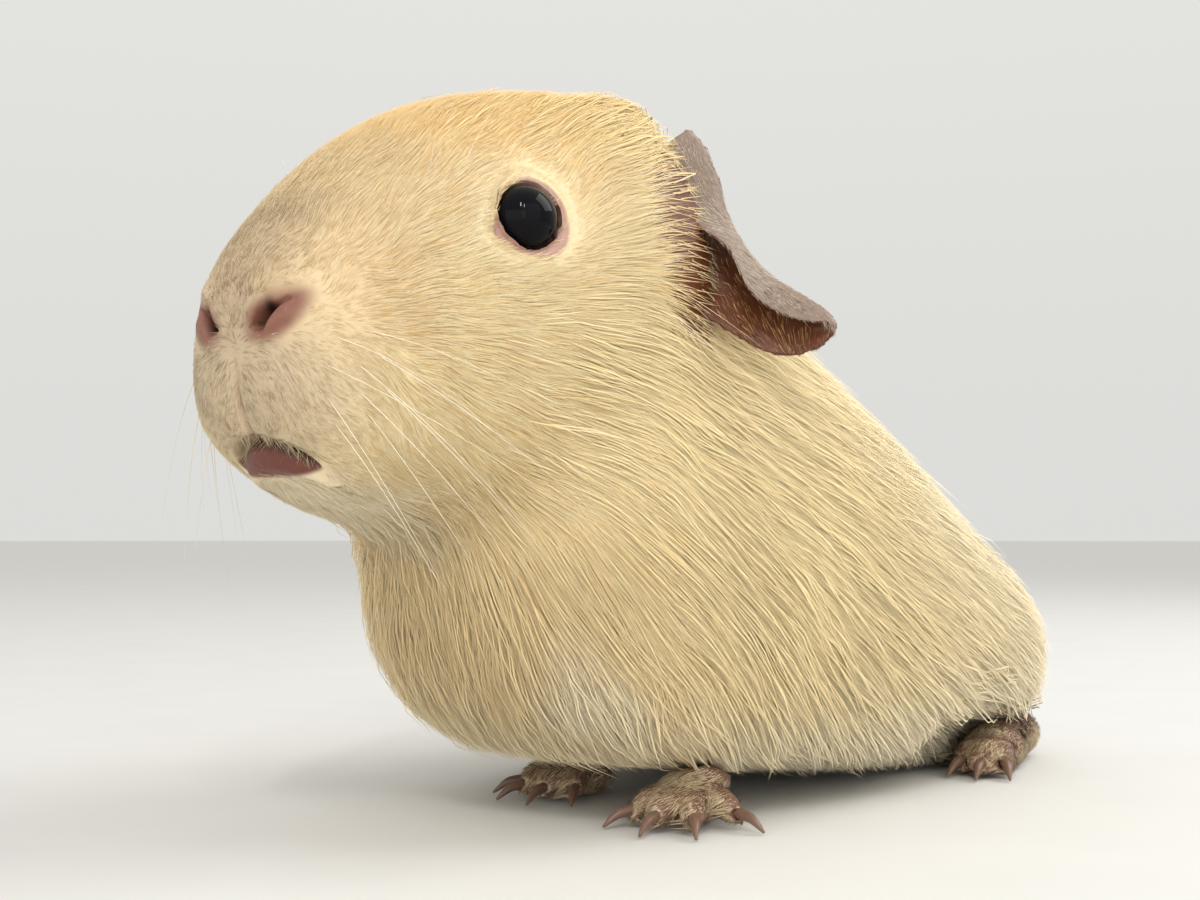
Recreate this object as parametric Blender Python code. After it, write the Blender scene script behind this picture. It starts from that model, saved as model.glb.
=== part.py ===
"""A short-haired guinea pig sitting with its head raised: a life-size still model.

The animal faces -Y, its left side is +X and the floor is the plane z = 0.
Sizes are in millimetres here and are turned into metres when a mesh is made.
The solids reach to the tips of the coat.
"""
import math

import bmesh
import bpy
import numpy as np
from mathutils import Matrix, Vector

MM = 0.001
GAP = 0.3                      # clearance between neighbouring pieces
WELD = 0.002                   # points nearer than this are one point

# ---------------------------------------------------------------- driving sizes
HEAD_SHIFT = -3.4              # the head is carried a little to the right
NOSE_HEIGHT = 70.4             # nose tip above the floor
HEAD_PITCH = -5.9              # degrees, nose down from the level head
HEAD_YAW = 2.8                 # degrees, turned to its own left
EYE_RADIUS = 5.1
EYE_BACK = 37.6                # eye centre behind the nose tip
EYE_UP = 12.4                  # eye centre above the nose tip
EYE_SIDE = 18.4                # eye centre out from the midline
EYE_AIM = (0.88, -0.42, 0.20)  # where the eye looks: out, back, up
EYE_BOWL = (2.7, 5.5)          # depth and radius of the dip round the eye
FOREFOOT_LEFT = (20.5, 66.5)   # middle of the palm on the floor
FOREFOOT_RIGHT = (-8.0, 75.0)
HINDFOOT_SIDE = 28.5           # heel out from the midline
HINDFOOT_HEEL = 163.0          # heel behind the nose tip
HINDFOOT_LENGTH = 36.0

# Head sections: back, top, bottom, half width, level of the widest place,
# squareness above it, squareness below it.
HEAD_ROWS = (
    (0.0, 2.6, -9.0, 5.2, -5.0, 2.1, 2.2),
    (1.2, 5.8, -14.0, 9.2, -8.0, 2.3, 2.4),
    (3.5, 9.6, -17.6, 12.9, -10.0, 2.3, 2.5),
    (7.0, 13.6, -21.0, 15.3, -11.0, 2.3, 2.5),
    (12.0, 18.4, -25.0, 17.2, -11.5, 2.3, 2.4),
    (20.0, 24.6, -29.5, 19.4, -11.5, 2.3, 2.3),
    (30.0, 30.0, -32.5, 22.3, -11.0, 2.3, 2.2),
    (40.0, 33.6, -34.0, 25.2, -10.0, 2.4, 2.2),
    (50.0, 35.4, -34.0, 28.0, -9.0, 2.6, 2.2),
    (60.0, 35.8, -32.0, 30.0, -8.0, 2.8, 2.1),
    (69.0, 34.2, -29.0, 30.0, -6.0, 2.8, 2.1),
    (77.0, 27.0, -22.0, 26.0, -4.0, 2.3, 2.0),
    (84.0, 14.0, -14.0, 16.0, -2.0, 2.0, 2.0),
)

# Trunk sections along the floor: back, top, bottom, half width, level of the
# widest place, squareness above it, squareness below it.
TRUNK_ROWS = (
    (29.0, 46.0, 38.0, 8.0, 42.0, 2.0, 2.0),
    (33.0, 52.0, 30.0, 15.0, 40.0, 2.0, 2.0),
    (39.0, 58.0, 20.0, 24.0, 36.0, 2.0, 2.2),
    (46.0, 66.0, 13.0, 30.5, 31.0, 2.1, 2.5),
    (56.0, 75.0, 8.5, 33.5, 27.0, 2.1, 2.8),
    (70.0, 84.0, 6.5, 37.0, 25.0, 2.0, 2.9),
    (86.0, 87.0, 3.2, 40.0, 25.0, 1.85, 2.8),
    (104.0, 83.0, 1.0, 41.0, 24.0, 1.8, 3.1),
    (122.0, 72.5, -0.4, 41.5, 23.0, 1.85, 3.1),
    (140.0, 60.0, -0.8, 40.5, 21.0, 1.9, 2.8),
    (154.0, 50.0, -0.8, 37.0, 20.0, 2.0, 2.4),
    (166.0, 39.5, 0.0, 30.0, 19.0, 2.1, 2.3),
    (174.0, 31.5, 4.0, 21.0, 18.0, 2.0, 2.1),
    (179.0, 23.0, 11.0, 10.0, 17.0, 2.0, 2.0),
)

# Extra clay on each side: out, back, up, three radii.
SHOULDER = (24.0, 76.0, 31.0, 17.0, 20.0, 23.0)
HAUNCH = (24.0, 143.0, 20.0, 18.0, 26.0, 22.5)
THROAT_CLAY = (-1.0, 53.0, 46.0, 32.5, 21.0, 19.0)
NAPE_CLAY = (-2.0, 84.0, 68.0, 26.0, 30.0, 22.5)
NECK_CLAY = (-1.0, 62.0, 56.0, 31.0, 22.0, 29.0)

# Ear sections from root to tip, each three places in the head's frame as
# side, back, up: the free front rim, the ridge of the fold, the lower edge.
EAR_ROWS = (
    ((23.5, 68.3, 27.0), (24.1, 73.8, 28.7), (25.3, 65.6, 16.6)),
    ((25.5, 67.2, 21.0), (26.9, 75.8, 24.1), (27.4, 64.5, 10.2)),
    ((27.5, 67.3, 17.5), (27.9, 76.4, 18.4), (28.7, 64.1, 5.2)),
    ((30.6, 67.1, 13.6), (29.3, 76.0, 12.2), (30.0, 64.4, 0.9)),
    ((33.7, 66.7, 8.7), (32.2, 75.5, 6.8), (31.8, 65.6, -3.0)),
    ((36.4, 66.0, 0.9), (37.5, 75.6, 2.6), (34.6, 68.1, -7.3)),
    ((42.0, 67.5, -3.7), (43.6, 75.1, -0.6), (39.8, 70.7, -9.8)),
    ((46.3, 70.7, -4.1), (47.0, 73.8, -2.6), (44.5, 72.4, -8.9)),
    ((48.3, 72.9, -5.1), (48.5, 73.6, -4.8), (47.9, 73.6, -6.2)),
)
EAR_THICK = 1.0
EAR_GRID = (18, 12)            # steps along the ear and across it

# Toes: turn from the foot's own line in degrees, and reach from the palm.
FOREFOOT_TURN = {"left": 27.0, "right": -6.0}
FORE_TOE_TURNS = {"left": (-51.0, -18.0, 12.0, 55.0), "right": (-39.0, -13.0, 13.0, 40.0)}
FORE_TOE_REACH = (9.6, 10.8, 10.8, 9.6)
FORE_TOE_RADIUS = 1.9
FORE_CLAW = (1.05, 4.6)        # radius at the root, length
HIND_TOE_TURNS = (-20.0, 0.0, 20.0)
HIND_TOE_REACH = (10.5, 12.0, 10.5)
HIND_TOE_RADIUS = 2.4
HIND_CLAW = (1.2, 5.0)
HINDFOOT_TURN = 14.0           # toes turned out from straight ahead

# Radii of the feet's clay: palm out, back and up; wrist, sole and toe along
# their lines; and the room under the coat round the hind foot.
PALM = (5.2, 5.6, 4.2)
PALM_HEIGHT = 3.6
WRIST = (4.3, 4.5, 4.8)
SOLE = (4.8, 4.7, 5.4)
SOLE_HEIGHT = 4.6
BALL_HEIGHT = 4.0
SOLE_FLAT = 0.86               # height of the sole's section against its width
TOE_SWELL = (1.12, 1.1, 0.9)
TOE_ROUND = 16.0               # of the foot's length, what the toes take up
FOOT_ROOM = (5.4, 6.6, 9.6)
ROOM_REACH = 24.0              # how far that room runs ahead of the ball
CLAW_TIP = 0.3                 # radius at the point
CLAW_TIP_HEIGHT = 0.5          # of the point above the floor
FORELEG = (5.6, 8.2, 11.0)     # wrist, forearm, elbow under the coat

# Where the pieces part: the mouth, and two places on each plane of the neck.
MOUTH_LEVEL = -16.5            # above the nose tip
JAW_BACK = 21.0                # behind the nose tip
NECK_FRONT = ((0.0, 81.0, 100.0), (0.0, 42.0, 36.0))
NECK_BACK = ((0.0, 100.0, 90.0), (0.0, 50.0, 20.0))

LEG_CUT = (13.0, 13.0, 13.5)   # radii of the cut round a foreleg, upwards
HAUNCH_CUT = (38.0, 148.0, 18.0, 24.0, 30.0, 27.0)
JAW_CUT = (40.0, -6.0, -60.0)  # half width, front and lowest level of the mouth's cut
MOUTH_FALL = 8.0               # how much lower the cut is at the back of the jaw

# How coarse the clay is when it is fused, and how often it is smoothed.
TORSO_CLAY = (2.0, 14)
BODY_CLAY = (1.25, 24)
EAR_CLAY = (0.4, 2)
FOOT_CLAY = (0.5, 6)

# Triangles kept by each kind of piece before it is cut.
BODY_TRIANGLES = 2180
EAR_TRIANGLES = 300
FOREFOOT_TRIANGLES = 240
HINDFOOT_TRIANGLES = 240

SLOTS = {
    # name start: (slot, colour, roughness)
    "eye": ("eye", (0.012, 0.010, 0.012), 0.08),
    "ear": ("ear_skin", (0.30, 0.19, 0.15), 0.65),
    "forefoot": ("foot_coat", (0.42, 0.33, 0.22), 0.8),
    "hindfoot": ("foot_coat", (0.42, 0.33, 0.22), 0.8),
    "foreclaw": ("claw", (0.45, 0.27, 0.16), 0.4),
    "hindclaw": ("claw", (0.45, 0.27, 0.16), 0.4),
}
COAT = ("coat", (0.76, 0.61, 0.35), 0.85)
FLAT_ANGLE = 40.0              # degrees between faces that stay a crease


# ------------------------------------------------------------------ small tools
def remove_everything():
    """Empty the file of objects."""
    for item in list(bpy.data.objects):
        bpy.data.objects.remove(item, do_unlink=True)


def read_rows(rows, at):
    """Smoothly interpolate a table of sections at one distance."""
    table = np.array(rows, float)
    keys = table[:, 0]
    slopes = np.gradient(table, keys, axis=0)
    k = int(np.clip(np.searchsorted(keys, at) - 1, 0, len(keys) - 2))
    span = keys[k + 1] - keys[k]
    t = (at - keys[k]) / span
    h00 = (1 + 2 * t) * (1 - t) ** 2
    h10 = t * (1 - t) ** 2
    h01 = t * t * (3 - 2 * t)
    h11 = t * t * (t - 1)
    return h00 * table[k] + h10 * span * slopes[k] + h01 * table[k + 1] + h11 * span * slopes[k + 1]


def new_object(name, points, faces):
    """Make a mesh object from points in millimetres."""
    mesh = bpy.data.meshes.new(name)
    mesh.from_pydata([tuple(c * MM for c in p) for p in points], [], faces)
    mesh.update()
    item = bpy.data.objects.new(name, mesh)
    bpy.context.scene.collection.objects.link(item)
    return item


def tidy_mesh(item):
    """Weld doubled points and turn every face outwards."""
    work = bmesh.new()
    work.from_mesh(item.data)
    bmesh.ops.remove_doubles(work, verts=work.verts, dist=WELD * MM)
    bmesh.ops.recalc_face_normals(work, faces=work.faces)
    work.to_mesh(item.data)
    work.free()
    item.data.update()
    return item


def signed_power(value, power):
    """Keep the sign and raise the size to a power."""
    return math.copysign(abs(value) ** power, value)


def ring_of(row, around):
    """One closed section: side and height of each point."""
    _, top, bottom, half, middle, square_up, square_down = row
    points = []
    for i in range(around):
        turn = 2 * math.pi * i / around
        c = math.cos(turn)
        s = math.sin(turn)
        square = square_up if s >= 0 else square_down
        reach = top - middle if s >= 0 else middle - bottom
        points.append((half * signed_power(c, 2 / square), middle + reach * signed_power(s, 2 / square)))
    return points


def loft(name, rows, place, around=56, along=60):
    """Close a skin over sections; place() turns side, back, up into a world point."""
    first = rows[0][0]
    last = rows[-1][0]
    points = []
    for k in range(along + 1):
        t = k / along
        t = 0.5 * t + 0.5 * t * t if rows is HEAD_ROWS else t
        at = first + (last - first) * t
        for side, up in ring_of(read_rows(rows, at), around):
            points.append(place(side, at, up))
    faces = []
    for k in range(along):
        for i in range(around):
            j = (i + 1) % around
            faces.append((k * around + i, k * around + j, (k + 1) * around + j, (k + 1) * around + i))
    faces.append(tuple(range(around)))
    faces.append(tuple(along * around + i for i in reversed(range(around))))
    return tidy_mesh(new_object(name, points, faces))


def ball(name, centre, radii, around=32, rings=20):
    """An ellipsoid in millimetres."""
    mesh = bpy.data.meshes.new(name)
    work = bmesh.new()
    bmesh.ops.create_uvsphere(work, u_segments=around, v_segments=rings, radius=1.0)
    bmesh.ops.scale(work, vec=Vector(radii) * MM, verts=work.verts)
    bmesh.ops.translate(work, vec=Vector(centre) * MM, verts=work.verts)
    work.to_mesh(mesh)
    work.free()
    item = bpy.data.objects.new(name, mesh)
    bpy.context.scene.collection.objects.link(item)
    return item


def tube(name, spine, radii, around=16, flat=1.0, steps=4):
    """A tapered tube with round ends along a short spine; flat squeezes it in height."""
    path = [Vector(p) for p in spine]
    count = steps * (len(path) - 1)
    keys = np.linspace(0, 1, len(path))
    points = []
    centres = []
    sizes = []
    for k in range(count + 1):
        t = k / count
        centres.append(Vector([float(np.interp(t, keys, [p[a] for p in path])) for a in range(3)]))
        sizes.append(float(np.interp(t, keys, radii)))
    start = (centres[0] - centres[1]).normalized()
    end = (centres[-1] - centres[-2]).normalized()
    caps = [(0.5, 0.866), (0.87, 0.5), (0.99, 0.14)] if steps > 1 else [(0.8, 0.6)]
    centres_all = [centres[0] + start * sizes[0] * a for a, _ in reversed(caps)] + centres
    sizes_all = [sizes[0] * b for _, b in reversed(caps)] + sizes
    centres_all += [centres[-1] + end * sizes[-1] * a for a, _ in caps]
    sizes_all += [sizes[-1] * b for _, b in caps]
    rings = len(centres_all)
    for k in range(rings):
        low = max(k - 1, 0)
        high = min(k + 1, rings - 1)
        ahead = (centres_all[high] - centres_all[low]).normalized()
        across = ahead.cross(Vector((0, 0, 1)))
        if across.length < 0.05:
            across = Vector((1, 0, 0))
        across.normalize()
        upward = across.cross(ahead).normalized()
        for i in range(around):
            turn = 2 * math.pi * i / around
            step = across * math.cos(turn) + upward * (math.sin(turn) * flat)
            points.append(tuple(centres_all[k] + step * sizes_all[k]))
    faces = []
    for k in range(rings - 1):
        for i in range(around):
            j = (i + 1) % around
            a = k * around + i
            b = k * around + j
            faces += [(a, b, b + around), (a, b + around, a + around)]
    faces.append(tuple(range(around)))
    faces.append(tuple((rings - 1) * around + i for i in reversed(range(around))))
    return tidy_mesh(new_object(name, points, faces))


def apply_modifiers(item):
    """Bake the modifier stack into the mesh."""
    graph = bpy.context.evaluated_depsgraph_get()
    graph.update()
    done = bpy.data.meshes.new_from_object(item.evaluated_get(graph))
    old = item.data
    item.modifiers.clear()
    item.data = done
    bpy.data.meshes.remove(old)
    return item


def join(name, items):
    """Put several meshes into one object."""
    work = bmesh.new()
    for item in items:
        work.from_mesh(item.data)
    mesh = bpy.data.meshes.new(name)
    work.to_mesh(mesh)
    work.free()
    for item in items:
        bpy.data.objects.remove(item, do_unlink=True)
    item = bpy.data.objects.new(name, mesh)
    bpy.context.scene.collection.objects.link(item)
    return item


def fuse(item, voxel):
    """Turn overlapping clay into one skin."""
    remesh = item.modifiers.new("fuse", "REMESH")
    remesh.mode = "VOXEL"
    remesh.voxel_size = voxel * MM
    return apply_modifiers(item)


def soften(item, rounds, weight=None):
    """Smooth the clay, more where weight() is near one."""
    smooth = item.modifiers.new("soften", "SMOOTH")
    smooth.factor = 0.5
    smooth.iterations = rounds
    if weight is not None:
        group = item.vertex_groups.new(name="soft")
        for point in item.data.vertices:
            group.add([point.index], weight(point.co / MM), "REPLACE")
        smooth.vertex_group = group.name
    apply_modifiers(item)
    item.vertex_groups.clear()
    return item


def thin_out(item, triangles):
    """Reduce the mesh to a number of triangles."""
    work = bmesh.new()
    work.from_mesh(item.data)
    bmesh.ops.triangulate(work, faces=work.faces)
    now = len(work.faces)
    work.to_mesh(item.data)
    work.free()
    fewer = item.modifiers.new("thin", "DECIMATE")
    fewer.ratio = min(1.0, triangles / now)
    return apply_modifiers(item)


def boolean(item, cutter, operation):
    """Apply one exact boolean and drop the cutter."""
    cutter.hide_render = True
    cutter.display_type = "WIRE"
    step = item.modifiers.new("cut", "BOOLEAN")
    step.operation = operation
    step.solver = "EXACT"
    step.object = cutter
    apply_modifiers(item)
    bpy.data.objects.remove(cutter, do_unlink=True)
    return tidy_mesh(item)


def copy_of(item, name):
    """A free copy of an object and its mesh."""
    twin = bpy.data.objects.new(name, item.data.copy())
    bpy.context.scene.collection.objects.link(twin)
    return twin


def keep_side(item, point, normal, gap=0.0):
    """Keep what lies behind a plane, set back by a gap, and cap the cut."""
    axis = Vector(normal).normalized()
    work = bmesh.new()
    work.from_mesh(item.data)
    everything = work.verts[:] + work.edges[:] + work.faces[:]
    cut = bmesh.ops.bisect_plane(
        work, geom=everything, dist=0.0, plane_co=(Vector(point) - axis * gap) * MM,
        plane_no=axis, clear_outer=True)
    rim = [edge for edge in cut["geom_cut"] if isinstance(edge, bmesh.types.BMEdge)]
    bmesh.ops.holes_fill(work, edges=rim, sides=0)
    bmesh.ops.recalc_face_normals(work, faces=work.faces)
    work.to_mesh(item.data)
    work.free()
    return tidy_mesh(item)


# ------------------------------------------------------------- the head's frame
def head_place(side, back, up):
    """Side, back and up from the nose tip in the head's own frame to the world."""
    pitch = math.radians(HEAD_PITCH)
    yaw = math.radians(HEAD_YAW)
    y = back * math.cos(pitch) + up * math.sin(pitch)
    z = -back * math.sin(pitch) + up * math.cos(pitch)
    x = side * math.cos(yaw) - y * math.sin(yaw)
    y = side * math.sin(yaw) + y * math.cos(yaw)
    return (x + HEAD_SHIFT, y, z + NOSE_HEIGHT)


def trunk_place(side, back, up):
    """The trunk's frame is the world's."""
    return (side, back, up)


def smooth_step(value, low, high):
    """Zero below low, one above high, smooth between."""
    t = min(1.0, max(0.0, (value - low) / (high - low)))
    return t * t * (3 - 2 * t)


# ------------------------------------------------------------------- the flesh
def make_flesh():
    """Head, neck, trunk, shoulders, haunches and forelegs as one body of clay."""
    torso = [loft("trunk_clay", TRUNK_ROWS, trunk_place)]
    for sign in (-1, 1):
        for form in (SHOULDER, HAUNCH):
            out, back, up, rx, ry, rz = form
            torso.append(ball("limb_clay", (sign * out, back, up), (rx, ry, rz)))
    for out, back, up, rx, ry, rz in (NECK_CLAY, NAPE_CLAY, THROAT_CLAY):
        torso.append(ball("neck_clay", (out, back, up), (rx, ry, rz), 48, 32))
    voxel, rounds = TORSO_CLAY
    torso = soften(fuse(join("torso", torso), voxel), rounds)
    clay = [torso, loft("head_clay", HEAD_ROWS, head_place, along=70)]
    for x, y in (FOREFOOT_LEFT, FOREFOOT_RIGHT):
        spine = ((x * 1.02, y + 6, 11), (x * 1.05, y + 8, 20), (x * 1.1, y + 8, 32))
        clay.append(tube("foreleg_clay", spine, FORELEG, 20))
    voxel, rounds = BODY_CLAY
    body = fuse(join("body", clay), voxel)

    def soft(p):
        face = 1 - smooth_step(p.y, 18, 46)
        feet = 1 - smooth_step(p.z, 10, 26)
        return 1 - 0.7 * max(0.7 * face, 0.8 * feet)

    return soften(body, rounds, soft)


def grown(item, by):
    """A copy pushed outwards by a small clearance."""
    twin = copy_of(item, item.name + "_grown")
    work = bmesh.new()
    work.from_mesh(twin.data)
    bmesh.ops.triangulate(work, faces=work.faces)
    work.to_mesh(twin.data)
    work.free()
    push = twin.modifiers.new("push", "DISPLACE")
    push.strength = by * MM
    push.mid_level = 0.0
    return apply_modifiers(twin)


def eye_bowl(sign):
    """A shallow dish cut round the eye, square to where it looks."""
    aim = Vector(head_place(sign * EYE_AIM[0], EYE_AIM[1], EYE_AIM[2])) - Vector(head_place(0, 0, 0))
    centre = Vector(head_place(sign * EYE_SIDE, EYE_BACK, EYE_UP)) + aim.normalized() * (EYE_RADIUS - 0.2)
    depth, radius = EYE_BOWL
    bowl = ball("bowl", (0, 0, 0), (radius, radius, depth), 14, 6)
    turn = aim.to_track_quat("Z", "Y").to_matrix().to_4x4()
    bowl.data.transform(Matrix.Translation(centre * MM) @ turn)
    return bowl


def block(name, corners):
    """A six-sided cutter from eight corners, the lower four first."""
    faces = ((0, 1, 2, 3), (7, 6, 5, 4), (0, 4, 5, 1), (1, 5, 6, 2), (2, 6, 7, 3), (3, 7, 4, 0))
    return tidy_mesh(new_object(name, corners, faces))


# ------------------------------------------------------------------------- ears
def make_ear(side, sign):
    """A drooping petal folded along its front edge."""
    along, across = EAR_GRID
    table = np.array([[c for place in row for c in place] for row in EAR_ROWS])
    keys = np.linspace(0, 1, len(table))
    points = []
    for k in range(along + 1):
        row = [float(np.interp(k / along, keys, table[:, c])) for c in range(9)]
        rim, ridge, low = (Vector(row[c:c + 3]) for c in (0, 3, 6))
        for i in range(across + 1):
            t = i / across
            knee = 2 * ridge - 0.5 * (rim + low)
            spot = (1 - t) ** 2 * rim + 2 * t * (1 - t) * knee + t * t * low
            points.append(head_place(sign * spot.x, spot.y, spot.z))
    faces = []
    for k in range(along):
        for i in range(across):
            a = k * (across + 1) + i
            face = (a, a + 1, a + across + 2, a + across + 1)
            faces.append(face if sign > 0 else face[::-1])
    ear = new_object("ear_" + side, points, faces)
    smooth = ear.modifiers.new("soften", "SMOOTH")
    smooth.factor = 0.5
    smooth.iterations = 3
    shell = ear.modifiers.new("shell", "SOLIDIFY")
    shell.thickness = EAR_THICK * MM
    shell.offset = 0.0
    apply_modifiers(ear)
    voxel, rounds = EAR_CLAY
    ear = soften(fuse(tidy_mesh(ear), voxel), rounds)
    return thin_out(ear, EAR_TRIANGLES)


# ------------------------------------------------------------------------- feet
def toe_line(centre, turn, reach, start, height, tip_height):
    """Spine of one toe from the palm to its end, arched a little."""
    angle = math.radians(turn)
    step = Vector((math.sin(angle), -math.cos(angle), 0))
    base = Vector((centre[0], centre[1], 0))
    return (base + step * start + Vector((0, 0, height)),
            base + step * (start * 0.45 + reach * 0.55) + Vector((0, 0, height + 0.5)),
            base + step * reach + Vector((0, 0, tip_height)))


def claw_line(spine, length, tip_height):
    """Spine of a claw: leaves the toe forwards and bends down to the floor."""
    end = Vector(spine[2])
    step = end - Vector(spine[1])
    step.z = 0
    step.normalize()
    root = end + step * 0.2 + Vector((0, 0, 0.35))
    middle = end + step * (0.5 * length + 0.4) + Vector((0, 0, 0.1))
    tip = Vector((end.x, end.y, 0)) + step * (length + 0.2) + Vector((0, 0, tip_height))
    return (root, middle, tip)


def make_foot(name, palm_forms, toes, radius, claw_size, triangles):
    """One foot with its toes, and its claws set in sockets."""
    clay = list(palm_forms)
    claws = []
    sockets = []
    for number, spine in enumerate(toes, 1):
        clay.append(tube("toe", spine, [radius * swell for swell in TOE_SWELL], 14))
        thick, length = claw_size
        line = claw_line(spine, length, CLAW_TIP_HEIGHT)
        sizes = (thick, thick * 0.8, CLAW_TIP)
        claw = name.replace("foot", "claw") + "_%d" % number
        claws.append(tube(claw, line, sizes, 6, 1.0, 1))
        sockets.append(tube("socket", line, [size + GAP for size in sizes], 6, 1.0, 1))
    voxel, rounds = FOOT_CLAY
    foot = thin_out(soften(fuse(join(name, clay), voxel), rounds), triangles)
    for socket in sockets:
        foot = boolean(foot, socket, "DIFFERENCE")
    return foot, claws


def make_forefoot(side):
    """Palm, wrist and four spread toes."""
    centre = FOREFOOT_LEFT if side == "left" else FOREFOOT_RIGHT
    turn = FOREFOOT_TURN[side]
    x, y = centre
    rise = ((x, y + 1, 4.4), (x * 1.01, y + 4, 8.5), (x * 1.02, y + 6, 13.5))
    palm = [ball("palm", (x, y, PALM_HEIGHT), PALM, 20, 14), tube("wrist", rise, WRIST, 16)]
    toes = [toe_line(centre, turn + extra, reach, 2.8, 3.4, 2.1)
            for extra, reach in zip(FORE_TOE_TURNS[side], FORE_TOE_REACH)]
    return make_foot("forefoot_" + side, palm, toes, FORE_TOE_RADIUS, FORE_CLAW, FOREFOOT_TRIANGLES)


def hindfoot_line(sign):
    """Heel, ball of the foot and forward step of one hind foot."""
    turn = math.radians(HINDFOOT_TURN)
    step = Vector((sign * math.sin(turn), -math.cos(turn), 0))
    heel = Vector((sign * HINDFOOT_SIDE, HINDFOOT_HEEL, SOLE_HEIGHT))
    ball_of_foot = heel + step * (HINDFOOT_LENGTH - TOE_ROUND)
    ball_of_foot.z = BALL_HEIGHT
    return heel, ball_of_foot, step


def foot_pocket(sign):
    """The room one hind foot takes up under the coat, as a cutter."""
    heel, ball_of_foot, step = hindfoot_line(sign)
    ahead = ball_of_foot + step * ROOM_REACH
    return tube("pocket", (heel, ball_of_foot, ahead), FOOT_ROOM, 12, 0.9, 2)


def make_hindfoot(side, sign):
    """A long sole lying on the floor with three toes."""
    heel, ball_of_foot, _ = hindfoot_line(sign)
    middle = (heel + ball_of_foot) / 2
    sole = [tube("sole", (heel, middle, ball_of_foot), SOLE, 18, SOLE_FLAT)]
    centre = (ball_of_foot.x, ball_of_foot.y)
    toes = [toe_line(centre, sign * HINDFOOT_TURN + extra, reach, 3.0, 3.6, 2.4)
            for extra, reach in zip(HIND_TOE_TURNS, HIND_TOE_REACH)]
    return make_foot("hindfoot_" + side, sole, toes, HIND_TOE_RADIUS, HIND_CLAW, HINDFOOT_TRIANGLES)


# ---------------------------------------------------------------------- parting
def largest_piece(item):
    """Keep only the biggest piece whose faces join edge to edge."""
    work = bmesh.new()
    work.from_mesh(item.data)
    left = set(work.faces)
    islands = []
    while left:
        queue = [left.pop()]
        island = list(queue)
        while queue:
            for edge in queue.pop().edges:
                for face in edge.link_faces:
                    if face in left:
                        left.discard(face)
                        island.append(face)
                        queue.append(face)
        islands.append(island)
    islands.sort(key=len, reverse=True)
    spare = [face for island in islands[1:] for face in island]
    if spare:
        bmesh.ops.delete(work, geom=spare, context="FACES")
    work.to_mesh(item.data)
    work.free()
    item.data.update()
    return item


def part_off(body, name, make_cutter):
    """Divide one named piece from the body with a thin cut."""
    piece = boolean(copy_of(body, name), make_cutter(0.0), "INTERSECT")
    body = boolean(body, make_cutter(GAP), "DIFFERENCE")
    return body, largest_piece(piece)


def jaw_block(extra):
    """The part of the muzzle below the mouth, as a cutter."""
    out, front, low = JAW_CUT
    rear = JAW_BACK + extra
    level = MOUTH_LEVEL + extra
    places = []
    for up_front, up_back in ((low, low), (level, level - MOUTH_FALL)):
        for side, back, up in ((-out, front, up_front), (out, front, up_front),
                               (out, rear, up_back), (-out, rear, up_back)):
            places.append(head_place(side, back, up))
    return block("jaw_cut", places)


def cut_normal(pair):
    """Backward normal of a plane holding the sideways line through two places."""
    high, low = Vector(pair[0]), Vector(pair[1])
    rise = high - low
    return Vector((0, rise.z, -rise.y)).normalized()


def finish(pieces):
    """Put the middle of the box on the origin, name, colour and shade the pieces."""
    spots = np.array([point.co[:] for item in pieces for point in item.data.vertices])
    low, high = spots.min(axis=0), spots.max(axis=0)
    shift = Vector((-(low[0] + high[0]) / 2, -(low[1] + high[1]) / 2, 0.0))
    for item in pieces:
        item.data.transform(Matrix.Translation(shift))
        item.data.name = item.name
        slot, colour, rough = next((v for k, v in SLOTS.items() if item.name.startswith(k)), COAT)
        paint = bpy.data.materials.new(slot + "_" + item.name)
        paint.use_nodes = True
        shader = paint.node_tree.nodes["Principled BSDF"]
        shader.inputs["Base Color"].default_value = (*colour, 1.0)
        shader.inputs["Roughness"].default_value = rough
        shader.inputs["Metallic"].default_value = 0.0
        item.data.materials.clear()
        item.data.materials.append(paint)
        for face in item.data.polygons:
            face.use_smooth = True
        item.data.set_sharp_from_angle(angle=math.radians(FLAT_ANGLE))


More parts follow.
